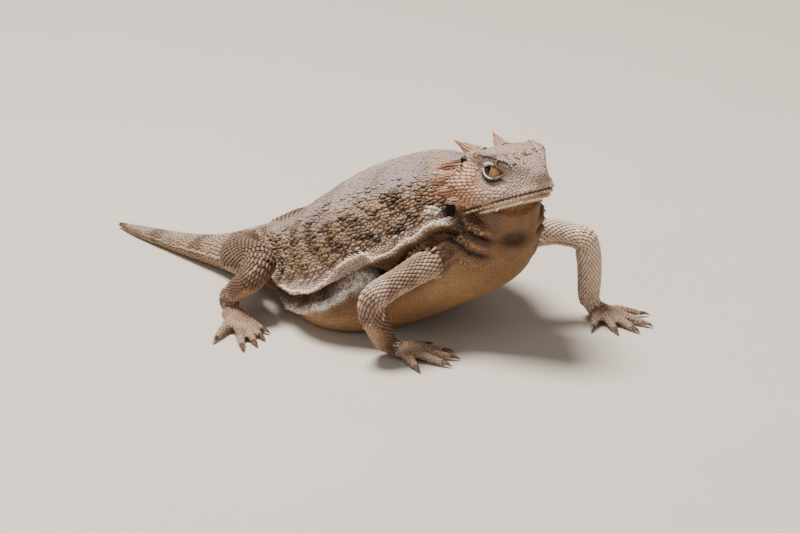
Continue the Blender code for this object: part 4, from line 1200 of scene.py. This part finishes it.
def horn_sleeves(seeds):
    """Keeled scales climbing the roots of the horns."""
    for name, (base, tip, radius) in HORNS.items():
        for side in (1, -1):
            b, t = in_head(base, side)[0], in_head(tip, side)[0]
            bend = in_head(horn_bend(name), side)[0] - HO
            axis, long = unit(t - b), np.linalg.norm(t - b)
            one = unit(np.cross(axis, (0.0, 0.0, 1.0)))
            other = np.cross(axis, one)
            points, normals = [], []
            for k, share in enumerate((-0.07, 0.03, 0.13, 0.23, 0.33, 0.43, 0.51)):
                thick = radius * min(1 - share, 1.0) ** 0.8 + 0.06 + max(-share, 0.0)
                m = max(6, int(round(2 * math.pi * thick / 0.52)))
                a = (np.arange(m) + 0.5 * (k % 2)) / m * 2 * math.pi
                out = np.cos(a)[:, None] * one + np.sin(a)[:, None] * other
                points.append(b + axis * long * share + bend * 4 * share * (1 - share) + out * (thick + 0.02))
                normals.append(unit(out + 0.25 * axis))
            p, n = np.vstack(points), np.vstack(normals)
            q = Spots(p, n, CHART.nearest(p))
            climb = np.clip(((p - b) @ axis) / long, 0, 1)
            tint = np.column_stack([np.broadcast_to(linear(168, 124, 94), (len(p), 3)), 0.3 + 0.6 * climb])
            seeds.add(q, 0.33, KEELED, 0.19, stretch=1.1, lie=np.broadcast_to(axis, p.shape) - n * (n @ axis)[:, None], tint=tint)


def special_rows(surface, seeds):
    """Scales that have their own places: fringe, back spines, lips, brows, temples, nostrils and limbs."""
    # fringe along each flank, one spine beside the other
    for way in (1, -1):
        line = trunk_points_line(0.0 if way > 0 else 180.0)
        length = np.cumsum(np.concatenate([[0], np.linalg.norm(np.diff(line, axis=0), axis=1)]))
        station = np.linspace(5.1, 12.2, len(length))
        s = np.interp(np.arange(0, length[-1], 0.42), length, station)
        q = trunk_points(surface, s, fringe_angle(s, edge_height(s) + 0.35 + RNG.normal(0, 0.06, len(s)), way))
        q = q.pick(q.part == TRUNK)
        tall = (0.36 + 0.22 * (np.arange(len(q)) % 2) + 0.12 * RNG.random(len(q))) * (0.6 + 0.45 * flap(q.s))
        seeds.add(q, 0.30, SPINE_SCALE, tall, lean=1.5, lie=q.lie + 0.15 * RNG.normal(size=(len(q), 3)), tint=tinted(linear(240, 216, 196), 0.85))
        # pointed white scales on the flap over the shoulder and its crest
        m = 50
        crested = RNG.random(m) < 0.5
        s = np.where(crested, RNG.uniform(11.42, 11.86, m), RNG.uniform(11.5, 12.15, m))
        t = np.clip((s - 11.5) / 0.5, 0, 1)
        high = np.where(crested, 2.9 - 1.9 * t + RNG.normal(0, 0.2, m), edge_height(s) + RNG.uniform(0.0, 0.6, m))
        q = trunk_points(surface, s, fringe_angle(s, high, way))
        q = apart(q.pick(q.part == TRUNK), 0.42)
        seeds.add(q, 0.36, np.where(RNG.random(len(q)) < 0.6, KEELED, SPINE_SCALE), 0.26 + 0.22 * RNG.random(len(q)), lean=1.6, stretch=1.0, tint=tinted(linear(240, 228, 214), 0.8))
    # the short fringe of the tail
    for base in (0.0, 180.0):
        s = np.arange(1.3, 5.0, 0.09)
        q = trunk_points(surface, s, base + RNG.normal(0, 2.0, len(s)))
        seeds.add(q, 0.27 + 0.03 * q.s, SPINE_SCALE, 0.25 + 0.09 * q.s, lean=0.8, tint=tinted(linear(196, 168, 144), 0.6))
    # standing spines of the back in loose rows, and more among the dark marks
    s = np.arange(5.6, 12.3, 0.52)
    rows = []
    for k, deg in enumerate((24, 40, 57, 74, 106, 123, 140, 156)):
        ss = s + (0.26 if k % 2 else 0.0) + RNG.normal(0, 0.08, len(s))
        rows.append(np.stack([ss, deg + RNG.normal(0, 2.6, len(s))], -1))
    rows = np.vstack(rows)
    q = trunk_points(surface, rows[:, 0], rows[:, 1])
    q = q.pick((q.part == TRUNK) & (q.s > 5.3))
    seeds.add(q, 0.42 + 0.10 * RNG.random(len(q)), SPINE_SCALE, (0.3 + 0.2 * RNG.random(len(q))) * (1 + 0.6 * step(q.e, 0.45, 0.7)), lean=1.5)
    m = 5600
    ss = RNG.uniform(5.8, 12.4, m)
    away = RNG.uniform(6.0, 58.0, m)
    deg = np.where(RNG.random(m) < 0.5, away, 180.0 - away)
    q = trunk_points(surface, ss, deg)
    q = q.pick((q.part == TRUNK) & (q.s > 5.3) & (q.ye > 0.9))
    _, dark = markings_and_shade(q)
    q = apart(q.pick(RNG.random(len(q)) < 0.16 + 0.7 * dark), 0.43)
    seeds.add(q, 0.25 + 0.13 * RNG.random(len(q)), KEELED, 0.24 + 0.32 * RNG.random(len(q)), stretch=1.5)
    # spines of the neck folds
    for base, way in ((0.0, 1), (180.0, -1)):
        m = 220
        q = trunk_points(surface, RNG.uniform(11.6, 13.3, m), base - way * RNG.uniform(-20, 40, m))
        q = q.pick(q.part == TRUNK)
        q = apart(q.pick(folds(q) > 0.25), 0.6)
        seeds.add(q, 0.36, KEELED, 0.20 + 0.2 * RNG.random(len(q)), stretch=1.2)
    for side in (1, -1):
        # upper and lower lips
        f = np.arange(8.5, -4.9, -0.66)
        q = head_points(surface, [(x, mouth_height(x) + 0.40) for x in f], side)
        seeds.add(q, 0.38, PLATE, 0.14, stretch=0.1)
        f = np.arange(8.0, -4.9, -0.66)
        q = head_points(surface, [(x, mouth_height(x) - 0.34) for x in f], side)
        seeds.add(q, 0.32, PLATE, 0.13, stretch=0.1)
        # chin shields, larger and pointed towards the corner of the mouth
        f = np.arange(6.0, -0.2, -0.62)
        q = head_points(surface, [(x, mouth_height(x) - 1.05) for x in f], side)
        seeds.add(q, 0.36, KEELED, 0.20, tint=tinted(linear(240, 218, 194), 0.7), stretch=0.8)
        # brow: keeled scales along the ridge, ending in a small spine over the back of the eye
        t = np.linspace(0, 1, 13)
        q = spots_at(surface, in_head(np.stack([-2.9 + 8.6 * t, 6.15 - 2.9 * t - 0.6 * t**2, 3.6 - 0.5 * t - 1.3 * t**2], -1), side))
        seeds.add(q, 0.38, KEELED, 0.12 + 0.14 * (1 - t), stretch=0.7, tint=tinted(linear(170, 146, 130), 0.7))
        # row of lashes under the brow
        t = np.linspace(0, 1, 17)
        q = spots_at(surface, in_head(np.stack([-1.9 + 5.6 * t, 6.1 - 1.5 * t, 2.75 - 0.25 * t - 0.6 * t**2], -1), side))
        seeds.add(q, 0.25, GRANULE, 0.16)
        # cheek and temple: long keeled scales in rows, fanning from under the eye to the horns
        rows = []
        for k, up in enumerate(np.arange(-5.6, 2.6, 0.50)):
            for x in np.arange(-7.8, 4.6, 0.86):
                x = x + 0.43 * (k % 2)
                if up > mouth_height(x) + 0.75 and np.hypot((x - 1.3) / 1.15, up - 0.3) > 3.0 and x < 4.4 + 0.8 * (up + 2.4) * (up > -2.4):
                    rows.append((x, up - 0.05 * (x + 2.0) * (up + 1.5) * 0.35))
        q = head_points(surface, rows, side)
        q = apart(q.pick((q.part == HEADPART) & allowed(q) & ((q.hf < 1.0) | (q.hu < -1.8))), 0.40)
        lie = -HF + 0.20 * (q.hu[:, None] + 1.2) * HU + 0.25 * side * HR
        lie = lie - q.normal * (lie * q.normal).sum(-1, keepdims=True)
        seeds.add(q, 0.43, KEELED, 0.24 + 0.12 * step(-q.hf, 0.0, 6.0), stretch=1.1, lie=lie)
        # ring round the nostril
        turn = np.linspace(0, 2 * math.pi, 11)[:-1]
        q = spots_at(surface, in_head(np.stack([NOSTRIL[0] + 0.6 * np.cos(turn), np.full(10, NOSTRIL[1]), NOSTRIL[2] + 0.6 * np.sin(turn)], -1), side))
        seeds.add(q, 0.20, GRANULE, 0.14, tint=tinted(linear(182, 166, 158), 0.5))
    horn_sleeves(seeds)
    limb_rows(surface, seeds)
def fringe_angle(s, y, way):
    """Angle round the trunk, in degrees, of a height over the level of the spine's row; way is 1 on the right, -1 on the left."""
    rows = spline(SPINE, 1401)
    i = np.clip(np.asarray(s, float) / ROWS * 1400, 0, 1400).astype(int)
    a = np.where(y > 0, np.degrees(np.arcsin(np.clip(y / rows[i, 4], 0, 0.99))), -np.degrees(np.arcsin(np.clip(np.abs(y) / rows[i, 5], 0, 0.99) ** (1 / 0.86))))
    return a if way > 0 else 180.0 - a


def trunk_points_line(angle, lo=5.1, hi=12.35, count=200):
    """The line of the fringe on the plain form."""
    n, k = 281, 220
    rings = trunk_rings(n, k)
    i = np.clip(np.linspace(lo, hi, count) / ROWS * (n - 1), 0, n - 1).astype(int)
    j = 0 if angle == 0 else k // 2
    return rings[i, j]


def allowed(q):
    """Where scales grow: not in the eye openings, the nostrils, the horns' roots or on the floor."""
    out = np.ones(len(q), bool)
    for sign in (1, -1):
        az, el, r, _ = on_eye(q.p, sign)
        out &= ~((slit(az, el, 1.12, 1.5) < 1.0) & (r < 4.6) & (np.abs(az) < 110))
    d = np.sqrt((q.hf - NOSTRIL[0]) ** 2 + (np.abs(q.hr) - NOSTRIL[1]) ** 2 + (q.hu - NOSTRIL[2]) ** 2)
    out &= d > 0.42
    for base, tip, radius in HORNS.values():
        b = np.array(base)
        axis = unit(np.array(tip) - b)
        rel = np.stack([q.hf - b[0], np.abs(q.hr) - b[1], q.hu - b[2]], -1)
        a = rel @ axis
        away = np.linalg.norm(rel - a[:, None] * axis, axis=1)
        out &= ~((a > -2.0) & (a < 4.0) & (away < radius * 0.85))
    out &= ~((q.p[:, 2] < 0.35) & (q.normal[:, 2] < -0.6))
    return out


def throw(surface, seeds):
    """Fills the skin between the placed scales with more, at the spacing of each region."""
    seeds.close()
    centre = surface.p[surface.tri].mean(1)
    normal = surface.face_normal
    q = Spots(centre, normal, CHART.nearest(centre))
    gap = spacing(q)
    count = int((surface.area / gap**2).sum() * 7.5)
    p, n = surface.scatter(1 / gap**2, count)
    q = Spots(p, n, CHART.nearest(p))
    keep = allowed(q)
    q = q.pick(keep)
    gap = spacing(q)
    tree = KDTree(len(q))
    for i, point in enumerate(q.p.tolist()):
        tree.insert(point, i)
    tree.balance()
    free = np.ones(len(q), bool)
    reach = seeds.reach
    for point, r in zip(seeds.p.tolist(), reach.tolist()):
        for _, i, d in tree.find_range(point, r + 0.45):
            if d < r + 0.42 * gap[i]:
                free[i] = False
    taken = []
    points = q.p.tolist()
    for i in range(len(q)):
        if free[i]:
            taken.append(i)
            for _, j, _ in tree.find_range(points[i], gap[i]):
                free[j] = False
    return q.pick(np.array(taken))


def settle(surface, q, fixed, rounds=2):
    """Evens out the distances between the scattered roots."""
    for _ in range(rounds):
        gap = spacing(q)
        everything = np.vstack([q.p, fixed])
        tree = KDTree(len(everything))
        for i, point in enumerate(everything.tolist()):
            tree.insert(point, i)
        tree.balance()
        near = np.array([[f[1] for f in tree.find_n(point, 8)][1:] for point in q.p.tolist()])
        rel = q.p[:, None] - everything[near]
        d = np.linalg.norm(rel, axis=-1)
        want = (gap * 1.22)[:, None]
        push = (rel / np.maximum(d, 1e-6)[..., None] * np.clip(want - d, 0, None)[..., None]).sum(1) * 0.28
        moved, normal, _ = surface.drop(q.p + push)
        q = Spots(moved, normal, CHART.nearest(moved))
        q = q.pick(allowed(q))
    return q


def outlines(p, normal, lie, reach, angles, mine):
    """How far each scale spreads at each angle from its lie before it meets its neighbours."""
    tree = KDTree(len(p))
    for i, point in enumerate(p.tolist()):
        tree.insert(point, i)
    tree.balance()
    near = np.array([[f[1] for f in tree.find_n(point, 12)][1:] for point in p[mine].tolist()])
    at, up, along, size = p[mine], normal[mine], lie[mine], reach[mine]
    across = np.cross(up, along)
    rel = p[near] - at[:, None]
    flat = rel - up[:, None] * (rel * up[:, None]).sum(-1, keepdims=True)
    # neighbours across a fold don't bound the scale
    facing = (normal[near] * up[:, None]).sum(-1) > 0.1
    d = np.linalg.norm(rel, axis=-1)
    share = size[:, None] / (size[:, None] + reach[near])
    phi = np.arctan2((flat * across[:, None]).sum(-1), (flat * along[:, None]).sum(-1))
    spread = np.empty((len(at), len(angles)))
    for k, theta in enumerate(angles):
        cos = np.cos(theta - phi)
        limit = np.where((cos > 0.12) & facing, d * share / np.maximum(cos, 0.12), 9.0)
        spread[:, k] = limit.min(1)
    return np.clip(spread, 0.1, size[:, None] * 1.4)


def scale_meshes(seeds, mine, angles=8, fine=True):
    """Vertices, colours, map places and faces of these scales."""
    theta = np.arange(angles) / angles * 2 * math.pi
    lie = unit(seeds.lie - seeds.n * (seeds.lie * seeds.n).sum(-1, keepdims=True))
    spread = outlines(seeds.p, seeds.n, lie, seeds.reach, theta, mine)
    p, n, lie = seeds.p[mine], seeds.n[mine], lie[mine]
    across = np.cross(n, lie)
    q = Spots(p, n, seeds.index[mine])
    colour, dark = markings_and_shade(q)
    tint = seeds.tint[mine]
    colour = colour * (1 - tint[:, 3:]) + tint[:, :3] * tint[:, 3:]
    m = len(p)
    shade = np.exp(RNG.normal(0, 0.09, (m, 1)))
    warm = 1 + RNG.normal(0, 0.03, (m, 1)) * np.array((1.0, 0.1, -1.0))
    colour = colour * shade * warm
    cos, sin = np.cos(theta), np.sin(theta)
    back = np.clip(cos, 0, None)
    size = spread.mean(1)
    kind, height, lean, stretch = seeds.kind[mine], seeds.height[mine], seeds.lean[mine], seeds.stretch[mine]
    g, k_, f_, s_ = (kind == x for x in (GRANULE, KEELED, PLATE, SPINE_SCALE))
    rings = []
    outline = spread * (1 + (stretch[:, None] + 0.2 * k_[:, None] + 0.08 * f_[:, None]) * back**3) * 0.95
    # keeled scales are drawn in beside their tips
    outline = outline * (1 - 0.16 * k_[:, None] * np.abs(np.sin(2 * theta)) * (cos > 0))
    keel = np.abs(cos) ** 6

    def ring(share, up, along, tone_and_shading):
        x = outline * share * cos + along[:, None]
        y = outline * share * sin
        point = p[:, None] + x[..., None] * lie[:, None] + y[..., None] * across[:, None] + up[..., None] * n[:, None]
        rings.append((point, np.broadcast_to(np.asarray(tone_and_shading, float), (m,)), share))

    h = height
    one = np.ones((m, angles))
    zero = np.zeros(m)
    flesh_ = q.part == TRUNK
    limb = (q.part == FORE) | (q.part == HIND)
    # colour of each ring: darker at the foot, partly the scale's own dark edge and partly painted shade in the gaps,
    # and lighter up to the tip as a painted highlight
    edge_and_gap_shade = np.where(f_, 0.85, np.where(k_, np.where(limb, 0.26, np.where(flesh_, 0.55, 0.34)), np.where(flesh_ & (q.e < 0.5), 0.74, 0.6)))
    # foot of the scale, just under the skin, then two rings up its sides, then the tip
    ring(1.0, -0.08 * one + (0.08 + 0.50 * h)[:, None] * (k_ * 1.0 + f_ * 0.4)[:, None] * back**2, zero, edge_and_gap_shade)
    if fine:
        ring(np.where(s_, 0.62, 0.86)[:, None], (h * np.where(g, 0.62, np.where(s_, 0.16, 0.42)))[:, None] * one + (h * (0.62 * k_ + 0.30 * f_))[:, None] * back**2 + (0.12 * h * k_)[:, None] * keel, s_ * 0.04 * lean * h, np.where(k_, 0.78, 0.88))
        ring(np.where(s_, 0.34, 0.5)[:, None], (h * np.where(g, 0.94, np.where(s_, 0.52, 0.72)))[:, None] * one + (h * (0.34 * k_ + 0.16 * f_))[:, None] * back**2 + (0.26 * h * k_)[:, None] * keel, s_ * 0.22 * lean * h, 1.02)
    else:
        ring(np.full((m, 1), 0.66), (h * 0.75)[:, None] * one, zero, 0.98)
    tip_up = h * np.where(g, 1.0, np.where(s_, 1.12, np.where(k_, 1.02, 0.85)))
    tip_along = s_ * 0.62 * lean * h + k_ * 0.1 * size
    tip = p + tip_along[:, None] * lie + tip_up[:, None] * n
    verts = np.concatenate([r[0] for r in rings] + [tip[:, None]], 1)
    # painted highlight on the tips
    tone_and_shading = np.concatenate([np.repeat(r[1][:, None], angles, 1) for r in rings] + [np.where(s_ | k_, 1.14, 1.05)[:, None]], 1)
    paint_ = colour[:, None] * tone_and_shading[..., None]
    shares = (1.0, 0.8, 0.5) if fine else (1.0, 0.66)
    uv = q.uv[:, None] + np.concatenate([0.0015 * share * np.stack([cos, sin], -1)[None] for share in shares] + [np.zeros((1, 1, 2))], 1)
    a = np.arange(angles)
    b = (a + 1) % angles
    faces, counts = [], []
    levels = len(rings) - 1
    for level in range(levels):
        o = level * angles
        faces.append(np.stack([a + o, b + o, b + o + angles, a + o + angles], -1).ravel())
        counts += [4] * angles
    faces.append(np.stack([a + levels * angles, b + levels * angles, np.full(angles, (levels + 1) * angles)], -1).ravel())
    counts += [3] * angles
    faces.append(a[::-1])
    counts += [angles]
    return verts, paint_, uv, np.concatenate(faces), np.array(counts)


def coat_piece(name, verts, colours, uv, faces, counts, material_):
    m, k, _ = verts.shape
    flat = verts.reshape(-1, 3).copy()
    flat[:, 2] = np.maximum(flat[:, 2], 0.02)
    all_faces = (faces[None] + (np.arange(m) * k)[:, None]).ravel()
    obj = mesh_object(name, flat, all_faces, np.tile(counts, m))
    paint(obj, colours.reshape(-1, 3))
    layer = obj.data.uv_layers.new(name="OFBake")
    loops = np.empty(len(obj.data.loops), np.int32)
    obj.data.loops.foreach_get("vertex_index", loops)
    layer.data.foreach_set("uv", uv.reshape(-1, 2)[loops].astype(np.float32).ravel())
    obj.data.materials.append(material_)
    return obj


# ----------------------------------------------------------------------------- materials
def material(name, rough, metal=0.0, specular=0.5):
    m = bpy.data.materials.new(name)
    m.use_nodes = True
    shader = m.node_tree.nodes["Principled BSDF"]
    shader.inputs["Roughness"].default_value = rough
    shader.inputs["Metallic"].default_value = metal
    shader.inputs["Specular IOR Level"].default_value = specular
    return m, m.node_tree.nodes, m.node_tree.links, shader


def node(nodes, kind, **values):
    n = nodes.new(kind)
    for key, value in values.items():
        if hasattr(n, key):
            setattr(n, key, value)
        else:
            n.inputs[key.replace("_", " ")].default_value = value
    return n


def set_ramp(ramp, stops):
    band = ramp.color_ramp
    band.elements[0].position, band.elements[1].position = stops[0][0], stops[-1][0]
    for place, _ in stops[1:-1]:
        band.elements.new(place)
    for element, (place, rgb) in zip(band.elements, stops):
        element.position = place
        element.color = (*linear(*rgb), 1)


def hide_material(name, rough, grain, strength, specular=0.4):
    """Painted hide with a fine grain of its own."""
    m, nodes, links, shader = material(name, rough, specular=specular)
    colour = node(nodes, "ShaderNodeAttribute", attribute_name="Hide")
    where = node(nodes, "ShaderNodeTexCoord")
    speck = node(nodes, "ShaderNodeTexNoise", Scale=grain, Detail=3.0, Roughness=0.6)
    links.new(where.outputs["Object"], speck.inputs["Vector"])
    ramp = node(nodes, "ShaderNodeMapRange")
    ramp.inputs["From Min"].default_value, ramp.inputs["From Max"].default_value = 0.3, 0.7
    ramp.inputs["To Min"].default_value, ramp.inputs["To Max"].default_value = 0.82, 1.18
    links.new(speck.outputs["Fac"], ramp.inputs["Value"])
    times = node(nodes, "ShaderNodeVectorMath", operation="MULTIPLY")
    links.new(colour.outputs["Color"], times.inputs[0])
    links.new(ramp.outputs["Result"], times.inputs[1])
    links.new(times.outputs["Vector"], shader.inputs["Base Color"])
    relief = node(nodes, "ShaderNodeBump", Strength=strength, Distance=0.00008)
    links.new(speck.outputs["Fac"], relief.inputs["Height"])
    links.new(relief.outputs["Normal"], shader.inputs["Normal"])
    return m


def eye_material(side):
    """A wet dark pupil in a golden brown iris."""
    m, nodes, links, shader = material("eye-" + ("right" if side > 0 else "left"), 0.12, specular=0.4)
    shader.inputs["Coat Weight"].default_value = 0.25
    shader.inputs["Coat Roughness"].default_value = 0.04
    az, el = math.radians(-7.0), math.radians(18.0)
    gaze = HF * math.sin(az) * math.cos(el) + HR * side * math.cos(az) * math.cos(el) + HU * math.sin(el)
    pupil = to_model(in_head(EYE_CENTRE, side)[0] + gaze * EYE_RADIUS)
    where = node(nodes, "ShaderNodeTexCoord")
    away = node(nodes, "ShaderNodeVectorMath", operation="DISTANCE")
    away.inputs[1].default_value = tuple(pupil)
    links.new(where.outputs["Object"], away.inputs[0])
    speck = node(nodes, "ShaderNodeTexNoise", Scale=3200.0, Detail=2.0)
    links.new(where.outputs["Object"], speck.inputs["Vector"])
    wobble = node(nodes, "ShaderNodeMath", operation="MULTIPLY_ADD")
    wobble.inputs[1].default_value, wobble.inputs[2].default_value = 0.00016, -0.00008
    links.new(speck.outputs["Fac"], wobble.inputs[0])
    total = node(nodes, "ShaderNodeMath", operation="ADD")
    links.new(away.outputs["Value"], total.inputs[0])
    links.new(wobble.outputs["Value"], total.inputs[1])
    scale = node(nodes, "ShaderNodeMath", operation="MULTIPLY")
    scale.inputs[1].default_value = 1 / 0.0035
    links.new(total.outputs["Value"], scale.inputs[0])
    ramp = node(nodes, "ShaderNodeValToRGB")
    stops = ((0.0, (2, 2, 2)), (0.315, (4, 3, 3)), (0.34, (170, 128, 76)), (0.40, (122, 84, 48)), (0.52, (158, 118, 72)), (0.66, (150, 110, 68)), (0.80, (112, 78, 48)), (0.92, (40, 26, 18)))
    set_ramp(ramp, stops)
    links.new(scale.outputs["Value"], ramp.inputs["Fac"])
    links.new(ramp.outputs["Color"], shader.inputs["Base Color"])
    return m


def horn_material(side, name):
    """Horn the colour of the temple at its root, rust and orange to the tip, ringed and grained along its length."""
    m, nodes, links, shader = material(f"horn-{name}-{side}", 0.45, specular=0.35)
    base, tip, radius = HORNS[name]
    sign = 1 if side == "right" else -1
    b, t = to_model(in_head(base, sign)[0]), to_model(in_head(tip, sign)[0])
    where = node(nodes, "ShaderNodeTexCoord")
    rel = node(nodes, "ShaderNodeVectorMath", operation="SUBTRACT")
    rel.inputs[1].default_value = tuple(b)
    links.new(where.outputs["Object"], rel.inputs[0])
    dot = node(nodes, "ShaderNodeVectorMath", operation="DOT_PRODUCT")
    length = float(np.linalg.norm(t - b))
    dot.inputs[1].default_value = tuple((t - b) / length**2)
    links.new(rel.outputs["Vector"], dot.inputs[0])
    speck = node(nodes, "ShaderNodeTexNoise", Scale=1800.0, Detail=3.0)
    links.new(where.outputs["Object"], speck.inputs["Vector"])
    add = node(nodes, "ShaderNodeMath", operation="MULTIPLY_ADD")
    add.inputs[1].default_value = 0.3
    links.new(speck.outputs["Fac"], add.inputs[0])
    links.new(dot.outputs["Value"], add.inputs[2])
    down = node(nodes, "ShaderNodeMath", operation="MULTIPLY")
    down.inputs[1].default_value = 0.75
    links.new(add.outputs["Value"], down.inputs[0])
    ramp = node(nodes, "ShaderNodeValToRGB")
    if name == "occipital":
        stops = ((0.1, (170, 140, 120)), (0.4, (160, 118, 94)), (0.65, (146, 94, 68)), (0.9, (164, 106, 74)))
    else:
        stops = ((0.1, (172, 134, 108)), (0.4, (164, 118, 90)), (0.6, (160, 106, 72)), (0.78, (170, 100, 60)), (0.95, (134, 76, 48)))
    set_ramp(ramp, stops)
    links.new(down.outputs["Value"], ramp.inputs["Fac"])
    links.new(ramp.outputs["Color"], shader.inputs["Base Color"])
    rings_ = node(nodes, "ShaderNodeMath", operation="SINE")
    many = node(nodes, "ShaderNodeMath", operation="MULTIPLY")
    many.inputs[1].default_value = 60.0
    links.new(dot.outputs["Value"], many.inputs[0])
    links.new(many.outputs["Value"], rings_.inputs[0])
    both = node(nodes, "ShaderNodeMath", operation="MULTIPLY_ADD")
    both.inputs[1].default_value = 0.3
    links.new(rings_.outputs["Value"], both.inputs[0])
    links.new(speck.outputs["Fac"], both.inputs[2])
    relief = node(nodes, "ShaderNodeBump", Strength=0.6, Distance=0.00014)
    links.new(both.outputs["Value"], relief.inputs["Height"])
    links.new(relief.outputs["Normal"], shader.inputs["Normal"])
    return m


def claw_material():
    m, nodes, links, shader = material("claws", 0.32, specular=0.5)
    where = node(nodes, "ShaderNodeTexCoord")
    speck = node(nodes, "ShaderNodeTexNoise", Scale=2400.0, Detail=2.0)
    links.new(where.outputs["Object"], speck.inputs["Vector"])
    ramp = node(nodes, "ShaderNodeValToRGB")
    ramp.color_ramp.elements[0].position, ramp.color_ramp.elements[0].color = 0.35, (*linear(58, 40, 30), 1)
    ramp.color_ramp.elements[1].position, ramp.color_ramp.elements[1].color = 0.65, (*linear(112, 84, 62), 1)
    links.new(speck.outputs["Fac"], ramp.inputs["Fac"])
    links.new(ramp.outputs["Color"], shader.inputs["Base Color"])
    relief = node(nodes, "ShaderNodeBump", Strength=0.3, Distance=0.00006)
    links.new(speck.outputs["Fac"], relief.inputs["Height"])
    links.new(relief.outputs["Normal"], shader.inputs["Normal"])
    return m


def plain_material(name, rgb, rough):
    m, nodes, links, shader = material(name, rough, specular=0.2)
    where = node(nodes, "ShaderNodeTexCoord")
    speck = node(nodes, "ShaderNodeTexNoise", Scale=30.0, Detail=2.0)
    links.new(where.outputs["Object"], speck.inputs["Vector"])
    ramp = node(nodes, "ShaderNodeValToRGB")
    c = linear(*rgb)
    ramp.color_ramp.elements[0].color = (*(c * 0.97), 1)
    ramp.color_ramp.elements[1].color = (*(c * 1.02), 1)
    links.new(speck.outputs["Fac"], ramp.inputs["Fac"])
    links.new(ramp.outputs["Color"], shader.inputs["Base Color"])
    return m


# ----------------------------------------------------------------------------- the model
skin = make_skin()
p, no = vertex_arrays(skin)
skin_spots = Spots(p, no, CHART.nearest(p))
base_colour, base_dark = markings_and_shade(skin_spots)
# the skin shows in the gaps between the scales and is darkened there as painted shade, less on the back and belly
soft = (skin_spots.part == TRUNK) & ((skin_spots.e < 0.45) | (skin_spots.e > 1.3))
paint(skin, base_colour * np.where(soft, 0.8, 0.58)[:, None])
skin.data.materials.clear()
skin.data.materials.append(hide_material("hide", 0.6, 2200.0, 0.5))
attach(skin, "root")
flesh = [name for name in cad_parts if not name.startswith(("eye", "horn", "claw"))]
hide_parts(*flesh)

surface = Surface(skin)
seeds = Seeds()
special_rows(surface, seeds)
scattered = throw(surface, seeds)
scattered = settle(surface, scattered, seeds.p)
kinds = kind_of(scattered)
gap = spacing(scattered)
tall = np.choose(kinds, (0.27, 0.40, 0.13, 0.6)) * gap
tall = np.where((scattered.part == TRUNK) & (scattered.e > 0.95) & (scattered.e < 1.26), 0.42 * gap, tall)
rough_spot = (RNG.random(len(scattered)) < 0.15) & (scattered.part == TRUNK) & (scattered.e < 0.9) & (scattered.s > 5)
tall = np.where(rough_spot, 0.55 * gap, tall)
everything = Seeds()
everything.parts = seeds.parts
everything.add(scattered, gap * 0.56, kinds, tall, stretch=np.choose(kinds, (0.05, 0.35, 0.10, 0.0)), fixed=False)
everything.close()
scale_hide = hide_material("scales", 0.52, 3800.0, 0.35)
spots = Spots(everything.p, everything.n, everything.index)
plain = (everything.kind == PLATE) & (spots.part == TRUNK) & (spots.e > 1.2)
plain |= (everything.kind == PLATE) & (spots.part != TRUNK) & (everything.n[:, 2] < -0.3)
back = (spots.part == TRUNK) & ~plain & (everything.kind == GRANULE)
total = 0
for word, mask, angles, fine in (("belly", plain, 6, False), ("back", back, 7, True), ("scales", ~plain & ~back, 8, True)):
    mine = np.nonzero(mask)[0]
    mine = mine[np.argsort(everything.index[mine], kind="stable")]
    verts, colours, uv, faces, counts = scale_meshes(everything, mine, angles, fine)
    per = int((counts - 2).sum())
    share = 190000 // per
    for i in range(0, len(mine), share):
        one = slice(i, i + share)
        piece = coat_piece(f"{word}_{i // share + 1:02d}", verts[one], colours[one], uv[one], faces, counts, scale_hide)
        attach(piece, "root")
    total += len(mine) * per
    print(word, len(mine), "scales", len(mine) * per, "triangles")
for sign in (1, -1):
    piece = lids(sign, scale_hide)
    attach(piece, "root")
print("coat", total, "skin", sum(len(f.vertices) - 2 for f in skin.data.polygons))

for name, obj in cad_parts.items():
    if name.startswith("eye"):
        m = eye_material(1 if name.endswith("right") else -1)
    elif name.startswith("horn"):
        word, side = name[5:].rsplit("_", 1)
        m = horn_material(side, word)
    elif name.startswith("claw"):
        m = bpy.data.materials.get("claws") or claw_material()
    else:
        continue
    if obj.material_slots:
        for material_slot in obj.material_slots:
            material_slot.material = m
    else:
        obj.data.materials.append(m)

# ----------------------------------------------------------------------------- floor, light and camera
bpy.ops.mesh.primitive_plane_add(size=3.0, location=(0, 0, 0))
floor = bpy.context.object
floor.name = "floor"
floor.data.materials.append(plain_material("floor", (202, 194, 184), 0.85))


def lamp(name, place, size, power_, colour, at=(0.0, 0.0, 0.015)):
    light = bpy.data.lights.new(name, "AREA")
    light.shape, light.size, light.energy, light.color = "DISK", size, power_, colour
    obj = bpy.data.objects.new(name, light)
    bpy.context.scene.collection.objects.link(obj)
    obj.location = place
    obj.rotation_euler = (Vector(at) - Vector(place)).to_track_quat("-Z", "Y").to_euler()
    return obj


def from_layout(x, y, z):
    return tuple(to_model(np.array((x, y, z))))


lamp("key", from_layout(-150, 40, 640), 0.26, 10.2, (1.0, 0.95, 0.88))
lamp("fill", from_layout(-420, -420, 300), 0.5, 0.65, (0.98, 0.97, 1.0))
lamp("front", from_layout(380, -500, 260), 0.5, 0.5, (1.0, 0.96, 0.91))
world = bpy.data.worlds.new("studio")
bpy.context.scene.world = world
world.use_nodes = True
world.node_tree.nodes["Background"].inputs["Color"].default_value = (1.0, 0.96, 0.92, 1)
world.node_tree.nodes["Background"].inputs["Strength"].default_value = 0.25

target = Vector(to_model(np.array((2.3, 14.0, 11.8))))
a, e = math.radians(30.0), math.radians(20.0)
d = Vector((-math.sin(a) * math.cos(e), math.cos(a) * math.cos(e), -math.sin(e)))
camera = bpy.data.objects.new("camera", bpy.data.cameras.new("camera"))
bpy.context.scene.collection.objects.link(camera)
camera.location = target - d * 0.7
camera.rotation_euler = d.to_track_quat("-Z", "Y").to_euler()
camera.data.lens, camera.data.sensor_width, camera.data.clip_start = 163.8, 36.0, 0.01
bpy.context.scene.camera = camera
